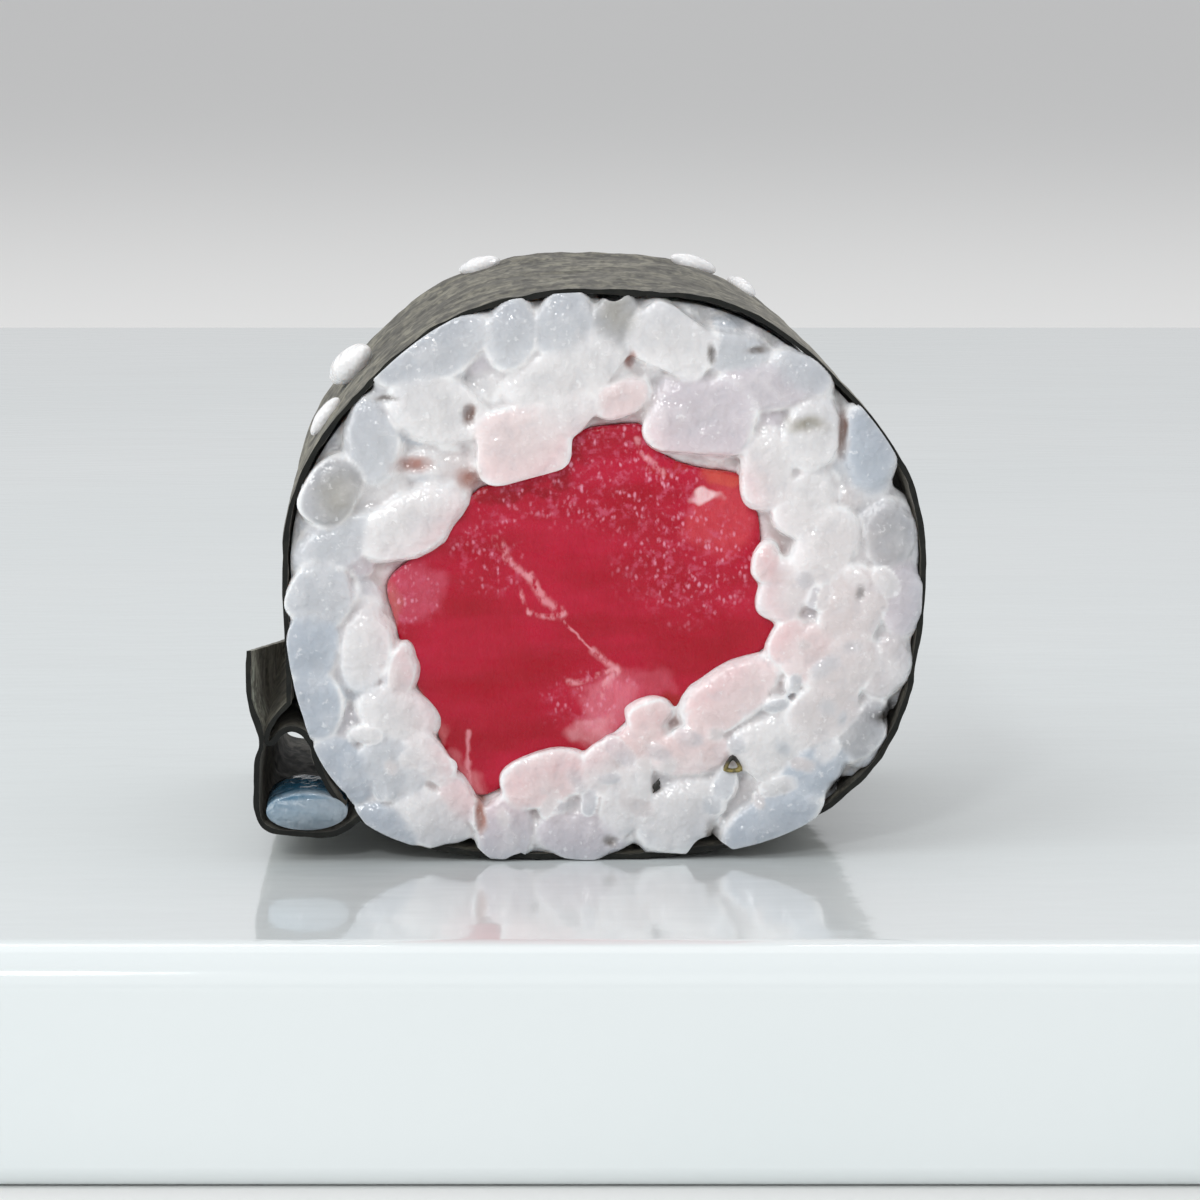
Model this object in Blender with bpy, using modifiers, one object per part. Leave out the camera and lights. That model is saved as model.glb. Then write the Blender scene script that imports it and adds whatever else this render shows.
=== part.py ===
"""A cut piece of tuna maki roll lying on a white rectangular plate.

Metres, +Z up. The origin is the middle of the plate's underside. The plate's length runs along Y. The roll lies
near the plate's front end, at -Y, with its axis close to Y and a cut face to the front and to the back. Its own
shapes are worked out in the roll's frame: x to the right, y from the front cut face towards the back, z up from
the lowest line of the nori.
"""

import math
import random

import bmesh
import bpy
from mathutils import Matrix, Vector

COLLECTION = "maki_roll_on_plate"

# Gap that touching solids keep
GAP = 0.0003

# Plate
PLATE_WIDTH = 0.140
PLATE_LENGTH = 0.268
PLATE_THICKNESS = 0.010
PLATE_CORNER_RADIUS = 0.006
PLATE_RIM_RADIUS = 0.0018
PLATE_FOOT_RADIUS = 0.0010

# Roll, and where it lies on the plate
ROLL_LENGTH = 0.021
ROLL_HALF_WIDTH = 0.0140
ROLL_HALF_HEIGHT = 0.0126
ROLL_YAW_DEG = 2.5
PLATE_EDGE_TO_ROLL = 0.0159

# The outline is an ellipse above its middle and squarer below, where the roll has settled under its weight
TOP_SQUARENESS = 2.0
RIGHT_FOOT_SQUARENESS = 2.7
LEFT_FOOT_SQUARENESS = 3.4
OUTLINE_STEP_DEG = 5
LUMP_HEIGHT = 0.0001
LUMPS_ROUND = 7

# Nori: one turn round the roll, a small pleat at its left, and the loose end of the sheet at the lower left
NORI_THICKNESS = 0.00035
NORI_ROWS = 4
NOTCH_DEG = 230
INNER_END_DEG = 585
PLEAT_DEG = 562
PLEAT_HALF_DEG = 9
PLEAT_HEIGHT = 0.0006
FLAP_PATH = (
    (-0.01560, 0.00940),
    (-0.01545, 0.00700),
    (-0.01525, 0.00480),
    (-0.01535, 0.00300),
    (-0.01500, 0.00180),
    (-0.01390, 0.00125),
    (-0.01240, 0.00115),
    (-0.01150, 0.00135),
)
FLAP_LEAN = 0.0009
FLAP_TAPER = 0.38

# Grains stuck to the outside of the nori: degrees round the outline, share of the roll's length, degrees of turn
# and share of a full grain's size
STUCK_GRAINS = (
    (141, 0.50, 35, 0.62),
    (150, 0.28, 75, 0.34),
    (111, 0.90, 60, 0.36),
    (69, 0.93, 80, 0.36),
    (59, 0.88, 35, 0.34),
)
STUCK_GRAIN_SINK = 0.00030

# Tuna: the corners of its cut face, clockwise from the left tip
TUNA_CORNERS = (
    (-0.0094, 0.0121),
    (-0.0067, 0.0148),
    (-0.0045, 0.0164),
    (-0.0013, 0.0184),
    (0.0018, 0.0189),
    (0.0040, 0.0173),
    (0.0064, 0.0165),
    (0.0069, 0.0127),
    (0.0077, 0.0100),
    (0.0061, 0.0084),
    (0.0026, 0.0067),
    (0.0002, 0.0055),
    (-0.0013, 0.0042),
    (-0.0050, 0.0030),
    (-0.0071, 0.0055),
    (-0.0080, 0.0078),
)
TUNA_RECESS = 0.0006
TUNA_EDGE_RADIUS = 0.0003

# Rice: a core set back from both cut faces, and the grains that show there. Sizes come with the tries to place them
GRAIN_LENGTH = 0.0064
GRAIN_WIDTH = 0.0027
GRAIN_THICKNESS = 0.0023
GRAIN_SIZES = ((0.95, 40), (0.70, 300), (0.50, 1500), (0.33, 3000))
ROUNDEST_GRAIN = 0.85
GRAIN_SPACING = 0.0020
GRAIN_ANGLES = 6
GRAIN_RIM_TESTS = 16
GRAIN_SINK_RANGE = 0.0007
RICE_CORE_RECESS = 0.0016
FRONT_SEED = 11
BACK_SEED = 23
SINK_SEED = 5

# The grain in the loose end's fold, which the knife cut off flat at the front
FOLD_GRAIN_CENTRE = (-0.01335, 0.0016, 0.00250)
FOLD_GRAIN_LENGTH = 0.0062
FOLD_GRAIN_WIDTH = 0.0025
FOLD_GRAIN_HEIGHT = 0.0015
FOLD_GRAIN_FRONT = 0.0


def clear_scene():
    for obj in list(bpy.data.objects):
        bpy.data.objects.remove(obj)


def new_collection(name):
    collection = bpy.data.collections.new(name)
    bpy.context.scene.collection.children.link(collection)
    return collection


def finish(obj, name, colour, roughness):
    """Gives the object its own material, and nothing else."""
    material = bpy.data.materials.new(name)
    material.use_nodes = True
    shader = material.node_tree.nodes["Principled BSDF"]
    shader.inputs["Base Color"].default_value = (*colour, 1.0)
    shader.inputs["Roughness"].default_value = roughness
    shader.inputs["Metallic"].default_value = 0.0
    obj.data.materials.clear()
    obj.data.materials.append(material)


def add_object(name, mesh, collection):
    obj = bpy.data.objects.new(name, mesh)
    collection.objects.link(obj)
    return obj


def mesh_from(name, bm):
    mesh = bpy.data.meshes.new(name)
    bm.to_mesh(mesh)
    bm.free()
    return mesh


def evaluated_mesh(obj):
    graph = bpy.context.evaluated_depsgraph_get()
    return bpy.data.meshes.new_from_object(obj.evaluated_get(graph))


def shade_round(obj):
    obj.data.shade_smooth()
    obj.data.set_sharp_from_angle(angle=math.radians(40))


def signed_power(value, power):
    return math.copysign(abs(value) ** power, value)


def roll_point(turn_deg, inset=0.0):
    """(x, z) on the roll's outline, moved in by the inset. 0 is at the right, 90 at the top."""
    turn = math.radians(turn_deg)
    across = math.cos(turn)
    up = math.sin(turn)
    if up >= 0:
        squareness = TOP_SQUARENESS
    elif across >= 0:
        squareness = RIGHT_FOOT_SQUARENESS
    else:
        squareness = LEFT_FOOT_SQUARENESS
    lump = LUMP_HEIGHT * math.sin(LUMPS_ROUND * turn) * max(0.0, up + 0.5)
    half_width = ROLL_HALF_WIDTH - inset + lump
    half_height = ROLL_HALF_HEIGHT - inset + lump
    x = half_width * signed_power(across, 2 / squareness)
    z = ROLL_HALF_HEIGHT + half_height * signed_power(up, 2 / squareness)
    return x, z


def roll_outline(inset):
    return [roll_point(turn, inset) for turn in range(0, 360, OUTLINE_STEP_DEG)]


def smooth_curve(points, steps, closed):
    """The points joined by a smooth curve through them, with this many steps from each to the next."""
    last = len(points) - 1
    result = []
    for span in range(last + closed):
        near = []
        for index in range(span - 1, span + 3):
            near.append(Vector(points[index % (last + 1) if closed else min(max(index, 0), last)]))
        before, start, end, after = near
        for step in range(steps):
            t = step / steps
            point = start * 2 + (end - before) * t
            point += (before * 2 - start * 5 + end * 4 - after) * t**2
            point += (start * 3 - before - end * 3 + after) * t**3
            result.append(tuple(point / 2))
    if not closed:
        result.append(tuple(points[-1]))
    return result


def widened(outline, distance):
    """A closed outline, given clockwise, moved outwards."""
    moved = []
    for index, point in enumerate(outline):
        along = Vector(outline[(index + 1) % len(outline)]) - Vector(outline[index - 1])
        outwards = Vector((-along.y, along.x)).normalized()
        moved.append(tuple(Vector(point) + outwards * distance))
    return moved


def is_inside(outline, x, z):
    inside = False
    for index, (x1, z1) in enumerate(outline):
        x0, z0 = outline[index - 1]
        if (z0 > z) != (z1 > z) and x < x0 + (z - z0) * (x1 - x0) / (z1 - z0):
            inside = not inside
    return inside


def prism(name, outlines, front, back):
    """A closed mesh along y from flat outlines in x and z, where an outline inside another is a hole."""
    flat = bpy.data.curves.new(name, "CURVE")
    flat.dimensions = "2D"
    flat.fill_mode = "BOTH"
    flat.extrude = (back - front) / 2
    for outline in outlines:
        spline = flat.splines.new("POLY")
        spline.points.add(len(outline) - 1)
        for point, (x, z) in zip(spline.points, outline):
            point.co = (x, z, 0.0, 1.0)
        spline.use_cyclic_u = True
    guide = add_object(name, flat, bpy.context.scene.collection)
    mesh = evaluated_mesh(guide)
    bpy.data.curves.remove(flat)
    stand = Matrix.Rotation(math.pi / 2, 4, "X")
    bm = bmesh.new()
    bm.from_mesh(mesh)
    bpy.data.meshes.remove(mesh)
    bmesh.ops.transform(bm, matrix=Matrix.Translation((0, (front + back) / 2, 0)) @ stand, verts=bm.verts)
    bmesh.ops.remove_doubles(bm, verts=bm.verts, dist=0.00001)
    bmesh.ops.recalc_face_normals(bm, faces=bm.faces)
    return mesh_from(name, bm)


def grain_mesh(name, size, segments, rings):
    """An oval grain with its poles along z."""
    bm = bmesh.new()
    bmesh.ops.create_uvsphere(bm, u_segments=segments, v_segments=rings, radius=0.5)
    bmesh.ops.scale(bm, verts=bm.verts, vec=size)
    return mesh_from(name, bm)


def keep_largest_shell(mesh):
    """Drops loose scraps, and the walls of hollows that a union has sealed."""
    bm = bmesh.new()
    bm.from_mesh(mesh)
    shells = []
    left = set(bm.verts)
    while left:
        shell = []
        reached = [left.pop()]
        while reached:
            vert = reached.pop()
            shell.append(vert)
            neighbours = {edge.other_vert(vert) for edge in vert.link_edges} & left
            left -= neighbours
            reached += neighbours
        shells.append(shell)
    shells.sort(key=len)
    for shell in shells[:-1]:
        bmesh.ops.delete(bm, geom=shell, context="VERTS")
    bm.to_mesh(mesh)
    bm.free()


def fuse(body, others):
    """Joins a collection's objects to the body by one union, and removes them."""
    union = body.modifiers.new("union", "BOOLEAN")
    union.operation = "UNION"
    union.operand_type = "COLLECTION"
    union.collection = others
    union.solver = "MANIFOLD"
    joined = evaluated_mesh(body)
    body.modifiers.clear()
    keep_largest_shell(joined)
    body.data = joined
    for obj in list(others.objects):
        bpy.data.objects.remove(obj)
    bpy.data.collections.remove(others)


def edges_at(bm, test):
    return [edge for edge in bm.edges if all(test(vert.co.z) for vert in edge.verts)]


def round_off(bm, edges, radius, segments):
    bmesh.ops.bevel(bm, geom=edges, offset=radius, segments=segments, profile=0.5, affect="EDGES")


def make_plate(collection):
    """A thick slab of porcelain with rounded corners, a round rim and a smaller round at its foot."""
    bm = bmesh.new()
    bmesh.ops.create_cube(bm, size=1.0)
    bmesh.ops.scale(bm, verts=bm.verts, vec=(PLATE_WIDTH, PLATE_LENGTH, PLATE_THICKNESS))
    bmesh.ops.translate(bm, verts=bm.verts, vec=(0, 0, PLATE_THICKNESS / 2))
    middle = PLATE_THICKNESS / 2
    uprights = [edge for edge in bm.edges if abs(edge.verts[0].co.z - edge.verts[1].co.z) > middle]
    round_off(bm, uprights, PLATE_CORNER_RADIUS, 6)
    round_off(bm, edges_at(bm, lambda z: z > PLATE_THICKNESS * 0.99), PLATE_RIM_RADIUS, 4)
    round_off(bm, edges_at(bm, lambda z: z < PLATE_THICKNESS * 0.01), PLATE_FOOT_RADIUS, 3)
    plate = add_object("plate", mesh_from("plate", bm), collection)
    finish(plate, "white_glaze", (0.84, 0.86, 0.87), 0.12)
    shade_round(plate)


def nori_path():
    """The middle line of the sheet, and the number of its points on the loose end."""
    middle = NORI_THICKNESS / 2
    path = smooth_curve([*FLAP_PATH, roll_point(NOTCH_DEG, middle)], 3, closed=False)
    loose_points = len(path)
    for turn in range(NOTCH_DEG + OUTLINE_STEP_DEG, INNER_END_DEG + 1, OUTLINE_STEP_DEG):
        from_pleat = min(1.0, abs(turn - PLEAT_DEG) / PLEAT_HALF_DEG)
        pleat = PLEAT_HEIGHT * (1 + math.cos(math.pi * from_pleat)) / 2
        path.append(roll_point(turn, middle - pleat))
    return path, loose_points


def make_stuck_grains():
    """The grains outside the nori, each lying flat on it and sunk in a little."""
    stuck = new_collection("stuck_grains")
    mesh = grain_mesh("stuck_grain", (GRAIN_WIDTH, GRAIN_THICKNESS, GRAIN_LENGTH), 8, 6)
    for turn, share, spin_deg, size in STUCK_GRAINS:
        x, z = roll_point(turn)
        round_roll = (Vector(roll_point(turn + 1)) - Vector(roll_point(turn - 1))).normalized()
        around = Vector((round_roll.x, 0, round_roll.y))
        outwards = Vector((round_roll.y, 0, -round_roll.x))
        spin = math.radians(spin_deg)
        lengthwise = Vector((0, 1, 0)) * math.cos(spin) + around * math.sin(spin)
        turned = Matrix((outwards.cross(lengthwise), outwards, lengthwise)).transposed().to_4x4()
        lift = size * GRAIN_THICKNESS / 2 - STUCK_GRAIN_SINK
        centre = Matrix.Translation(Vector((x, share * ROLL_LENGTH, z)) + outwards * lift)
        grain = add_object("stuck_grain", mesh, stuck)
        grain.matrix_world = centre @ turned @ Matrix.Scale(size, 4)
    return stuck


def make_nori(collection, place):
    """A flat grid wrapped along its path and given its thickness, with a few grains fused on outside."""
    path, loose_points = nori_path()
    lowest = min(z for x, z in path[:loose_points])
    bpy.ops.mesh.primitive_grid_add(x_subdivisions=len(path) - 1, y_subdivisions=NORI_ROWS, size=1.0)
    nori = bpy.context.object
    for owner in list(nori.users_collection):
        owner.objects.unlink(nori)
    collection.objects.link(nori)
    nori.name = "nori"
    for vert in nori.data.vertices:
        column = round((vert.co.x + 0.5) * (len(path) - 1))
        share = vert.co.y + 0.5
        looseness = max(0.0, 1 - column / loose_points)
        x, z = path[column]
        x += FLAP_LEAN * share * looseness
        z -= FLAP_TAPER * share * looseness * (z - lowest)
        vert.co = (x, share * ROLL_LENGTH, z)
    wall = nori.modifiers.new("wall", "SOLIDIFY")
    wall.thickness = NORI_THICKNESS
    wall.offset = 0.0
    thick = evaluated_mesh(nori)
    nori.modifiers.clear()
    nori.data = thick
    fuse(nori, make_stuck_grains())
    finish(nori, "dark_nori", (0.022, 0.026, 0.020), 0.45)
    shade_round(nori)
    nori.parent = place


def grain_rim(x, z, angle, length, width):
    """Points round a grain's widest outline."""
    rim = []
    for test in range(GRAIN_RIM_TESTS):
        turn = math.tau * test / GRAIN_RIM_TESTS
        out = math.cos(turn) * length / 2
        side = math.sin(turn) * width / 2
        across = out * math.cos(angle) - side * math.sin(angle)
        up = out * math.sin(angle) + side * math.cos(angle)
        rim.append((x + across, z + up))
    return rim


def packed_grains(seed, tuna_hole, rice_edge):
    """Grains over one cut face, as (x, z, angle, length, width), the full ones first and short ones between."""
    rng = random.Random(seed)
    grains = []
    for size, tries in GRAIN_SIZES:
        length = GRAIN_LENGTH * size
        width = min(GRAIN_WIDTH, length * ROUNDEST_GRAIN)
        for _ in range(tries):
            x = rng.uniform(-ROLL_HALF_WIDTH, ROLL_HALF_WIDTH)
            z = rng.uniform(0.0, 2 * ROLL_HALF_HEIGHT)
            first = rng.uniform(0.0, math.pi)
            if any(math.hypot(x - other[0], z - other[1]) < GRAIN_SPACING for other in grains):
                continue
            for turn in range(GRAIN_ANGLES):
                angle = first + turn * math.pi / GRAIN_ANGLES
                rim = grain_rim(x, z, angle, length, width)
                if all(is_inside(rice_edge, *point) and not is_inside(tuna_hole, *point) for point in rim):
                    grains.append((x, z, angle, length, width))
                    break
    return grains


def make_face_grains(tuna_hole, rice_edge):
    """The grains of both cut faces, the back ones drawn anew."""
    packed = new_collection("face_grains")
    mesh = grain_mesh("grain", (1.0, GRAIN_THICKNESS, 1.0), 6, 4)
    rng = random.Random(SINK_SEED)
    for seed, face_y, inwards in ((FRONT_SEED, 0.0, 1), (BACK_SEED, ROLL_LENGTH, -1)):
        for x, z, angle, length, width in packed_grains(seed, tuna_hole, rice_edge):
            grain = add_object("grain", mesh, packed)
            depth = GRAIN_THICKNESS / 2 + rng.uniform(0.0, GRAIN_SINK_RANGE)
            grain.location = (x, face_y + inwards * depth, z)
            grain.rotation_euler.y = math.pi / 2 - angle
            grain.scale = (width, 1.0, length)
    return packed


def make_rice(collection, place, tuna_outline):
    """A ring of packed rice round the tuna, with the grains that show fused on at both cut faces."""
    rice_edge = roll_outline(NORI_THICKNESS + GAP)
    tuna_hole = widened(tuna_outline, GAP)
    core = prism("rice", (rice_edge, tuna_hole), RICE_CORE_RECESS, ROLL_LENGTH - RICE_CORE_RECESS)
    rice = add_object("rice", core, collection)
    fuse(rice, make_face_grains(tuna_hole, rice_edge))
    finish(rice, "sticky_rice", (0.80, 0.79, 0.78), 0.35)
    shade_round(rice)
    rice.parent = place


def make_tuna(collection, place, tuna_outline):
    """A bar of raw tuna through the middle, a little short of each cut face."""
    bar = prism("tuna", (tuna_outline,), TUNA_RECESS, ROLL_LENGTH - TUNA_RECESS)
    tuna = add_object("tuna", bar, collection)
    edge = tuna.modifiers.new("edge", "BEVEL")
    edge.width = TUNA_EDGE_RADIUS
    edge.segments = 2
    edge.limit_method = "ANGLE"
    edge.angle_limit = math.radians(60)
    finish(tuna, "raw_tuna", (0.48, 0.022, 0.050), 0.30)
    shade_round(tuna)
    tuna.parent = place


def make_fold_grain(collection, place):
    """One grain lying along the roll in the fold of the loose end, cut off at the front face."""
    size = (FOLD_GRAIN_WIDTH, FOLD_GRAIN_HEIGHT, FOLD_GRAIN_LENGTH)
    whole = grain_mesh("fold_grain", size, 16, 10)
    bm = bmesh.new()
    bm.from_mesh(whole)
    bpy.data.meshes.remove(whole)
    lie_down = Matrix.Translation(FOLD_GRAIN_CENTRE) @ Matrix.Rotation(math.pi / 2, 4, "X")
    bmesh.ops.transform(bm, matrix=lie_down, verts=bm.verts)
    everything = [*bm.verts, *bm.edges, *bm.faces]
    cut = bmesh.ops.bisect_plane(
        bm, geom=everything, plane_co=(0, FOLD_GRAIN_FRONT, 0), plane_no=(0, -1, 0), clear_outer=True
    )
    rim = [part for part in cut["geom_cut"] if isinstance(part, bmesh.types.BMEdge)]
    bmesh.ops.contextual_create(bm, geom=rim)
    bmesh.ops.recalc_face_normals(bm, faces=bm.faces)
    fold_grain = add_object("fold_grain", mesh_from("fold_grain", bm), collection)
    finish(fold_grain, "cut_rice_grain", (0.62, 0.70, 0.76), 0.30)
    shade_round(fold_grain)
    fold_grain.parent = place


def main():
    clear_scene()
    collection = new_collection(COLLECTION)
    make_plate(collection)
    place = bpy.data.objects.new("roll_place", None)
    collection.objects.link(place)
    place.location = (0.0, PLATE_EDGE_TO_ROLL - PLATE_LENGTH / 2, PLATE_THICKNESS + GAP)
    place.rotation_euler.z = math.radians(ROLL_YAW_DEG)
    tuna_outline = smooth_curve(TUNA_CORNERS, 3, closed=True)
    make_nori(collection, place)
    make_rice(collection, place, tuna_outline)
    make_tuna(collection, place, tuna_outline)
    make_fold_grain(collection, place)


main()
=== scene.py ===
"""Looks for a cut piece of tuna maki roll lying on a white plate."""

import math
import random
from collections import namedtuple
from contextlib import contextmanager

import bmesh
import bpy
import numpy as np
from mathutils import Matrix, Vector, noise


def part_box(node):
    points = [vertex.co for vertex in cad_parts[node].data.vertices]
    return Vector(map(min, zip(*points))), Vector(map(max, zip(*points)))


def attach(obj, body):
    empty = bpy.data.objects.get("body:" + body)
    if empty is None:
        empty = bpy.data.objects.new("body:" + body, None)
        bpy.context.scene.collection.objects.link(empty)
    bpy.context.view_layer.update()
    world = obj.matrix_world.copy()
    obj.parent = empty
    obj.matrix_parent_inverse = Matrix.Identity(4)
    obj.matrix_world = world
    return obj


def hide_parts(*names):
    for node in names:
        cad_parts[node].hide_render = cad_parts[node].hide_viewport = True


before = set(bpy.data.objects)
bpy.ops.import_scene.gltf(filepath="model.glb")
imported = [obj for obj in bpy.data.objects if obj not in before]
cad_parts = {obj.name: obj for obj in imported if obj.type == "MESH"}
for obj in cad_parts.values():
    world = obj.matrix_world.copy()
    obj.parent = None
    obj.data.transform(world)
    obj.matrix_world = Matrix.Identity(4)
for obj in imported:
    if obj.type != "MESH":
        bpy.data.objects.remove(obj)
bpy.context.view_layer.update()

MM = 0.001

# The photograph, 1200 pixels square: its scale at the roll's cut face and where the roll stands in it
PHOTO_SIZE = 1200
PHOTO_PIXEL = MM / 23.04
PHOTO_ROLL_MIDDLE = 605
PHOTO_ROLL_FOOT = 862

# Camera: its focal length in the photograph's pixels, its sensor in millimetres, and where it stands
CAMERA_PIXELS = 4040
CAMERA_SENSOR = 36.0
CAMERA_ASIDE = -0.2 * MM
CAMERA_TO_ROLL = 173 * MM
CAMERA_OVER_PLATE = 39.6 * MM
CAMERA_DOWN_DEG = 9.2
CAMERA_NEAR = 0.01
CAMERA_FAR = 50.0

# Studio: the floor and the sky, and for each lamp its place, size, watts and colour
FLOOR_SIZE = 14.0
FLOOR_MIDDLE = (0, 3, 0)
FLOOR_COLOUR = (0.84, 0.84, 0.83)
WORLD_COLOUR = (0.96, 0.965, 0.98)
WORLD_STRENGTH = 0.62
LIGHTS = (
    ("window", (-0.35, -0.35, 0.45), (0.35, 0.30), 0.90, (0.97, 0.985, 1.0)),
    ("overhead", (0.05, 0.12, 0.60), (0.50, 0.40), 0.60, (1.0, 0.99, 0.97)),
    ("front", (0.08, -0.56, 0.19), (0.40, 0.20), 0.12, (1.0, 0.99, 0.98)),
    ("sparkle", (-0.10, -0.46, 0.26), (0.05, 0.05), 0.34, (1.0, 1.0, 1.0)),
    ("side", (-0.42, -0.16, 0.09), (0.26, 0.14), 0.36, (0.98, 0.99, 1.0)),
    ("rim", (0.0, 0.20, 0.50), (1.30, 0.01), 0.50, (1.0, 1.0, 1.0)),
)

# Plate, as it is in the frame
PLATE_LOW, PLATE_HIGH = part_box("plate")
PLATE_CORNER = 6.0 * MM
PLATE_RIM = 1.8 * MM
PLATE_FOOT = 1.0 * MM
GLAZE_GREY = (0.735, 0.790, 0.795)
GLAZE_WHITE = (0.765, 0.810, 0.815)

# Roll, with its own frame: x to the right, y from the front cut face to the back, z up from its lowest line
ROLL_LENGTH = 21.0 * MM
ROLL_HALF_WIDTH = 14.0 * MM
ROLL_HALF_HEIGHT = 12.6 * MM
ROLL_YAW_DEG = 2.5
ROLL_FRONT_Y = PLATE_LOW.y + 15.9 * MM
ROLL_REST = 0.04 * MM
ROLL_PLACE = Matrix.Translation((0, ROLL_FRONT_Y, PLATE_HIGH.z + ROLL_REST)) @ Matrix.Rotation(
    math.radians(ROLL_YAW_DEG), 4, "Z"
)
TOP_SQUARENESS = 2.0
RIGHT_FOOT_SQUARENESS = 2.7
LEFT_FOOT_SQUARENESS = 3.4
LUMP_HEIGHT = 0.1 * MM
LUMPS_ROUND = 7

# Nori: the loose end, one turn round the roll from the notch, then the pleat at the lower left.
# Points in millimetres on the sheet's middle line
NORI_THICKNESS = 0.30 * MM
NORI_THINNEST = 0.50
NORI_FRONT = 0.15 * MM
NORI_ROWS = 70
NOTCH_DEG = 230
LAST_ROUND_DEG = 551
FLAP_PATH_MM = (
    (-15.44, 9.40), (-15.38, 7.30), (-15.06, 6.00), (-14.98, 5.20), (-15.16, 4.50), (-15.22, 3.10),
    (-15.08, 1.95), (-14.60, 1.45), (-13.60, 1.27), (-12.15, 1.22), (-11.40, 1.45),
)
PLEAT_PATH_MM = (
    (-13.72, 7.05), (-14.15, 6.60), (-14.60, 6.00), (-14.78, 5.40), (-14.50, 5.30), (-14.10, 5.75),
    (-13.60, 5.95), (-13.05, 5.75), (-12.70, 5.25), (-12.60, 4.60), (-12.30, 3.80), (-11.85, 3.00),
    (-11.35, 2.45),
)
FLAP_LEAN = 0.9 * MM
FLAP_TAPER = 0.38
TURN_STEP_DEG = 1.5
CRINKLE = 0.10 * MM
CRINKLES_PER_M = 350
RAGGEDNESS = 0.6 * NORI_FRONT
RAGS_PER_M = 900
THICK_SPOTS_PER_M = 1300
NORI_BLACK = (0.004, 0.005, 0.004)
NORI_OLIVE = (0.170, 0.160, 0.115)
# Colour of the painted sheen on the inner face of the loose end
NORI_PAINTED_SHEEN = (0.560, 0.600, 0.510)
NORI_SHEEN = (1.0, 0.95, 0.84)

# The loose end: where painted shade darkens the sheet in its fold, and where a painted sheen makes its
# inner face paler, in the photo's pixels
FOLD_SHADES = ((290, 775, 62, 62), (290, 640, 26, 34))
FLAP_SHEEN = (262, 690, 26, 56)

# Tuna: the corners of its cut face in millimetres, clockwise from the left tip
TUNA_CORNERS_MM = (
    (-9.4, 12.3), (-8.0, 13.6), (-6.7, 15.0), (-5.3, 16.4), (-3.0, 17.0), (-1.4, 18.7),
    (0.5, 19.1), (1.9, 19.0), (2.6, 17.8), (4.1, 17.2), (6.1, 16.8), (6.7, 15.2),
    (6.9, 13.6), (7.4, 12.6), (7.2, 11.4), (7.9, 10.1), (6.7, 9.0), (5.4, 8.2),
    (3.0, 6.4), (1.2, 6.2), (-0.4, 4.6), (-2.2, 4.2), (-4.0, 3.4), (-5.6, 2.8),
    (-6.9, 4.6), (-7.6, 6.6), (-8.6, 8.6), (-9.1, 10.6),
)
TUNA_RECESS = 0.55 * MM
TUNA_VOXEL = 0.16 * MM
TUNA_WAVE = 0.12 * MM
TUNA_WAVES_PER_M = 260
TUNA_FIBRE = 0.03 * MM
TUNA_FIBRES_PER_M = Vector((500, 500, 1400))
TUNA_RED = (0.370, 0.001, 0.014)
TUNA_LIGHT_RED = (0.500, 0.007, 0.038)
# Colours of the painted sheen and the painted glints on the wet flesh
TUNA_SHEEN = (0.62, 0.110, 0.190)
TUNA_GLINT = (0.84, 0.36, 0.48)
TUNA_THREAD = (0.80, 0.34, 0.38)

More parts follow.
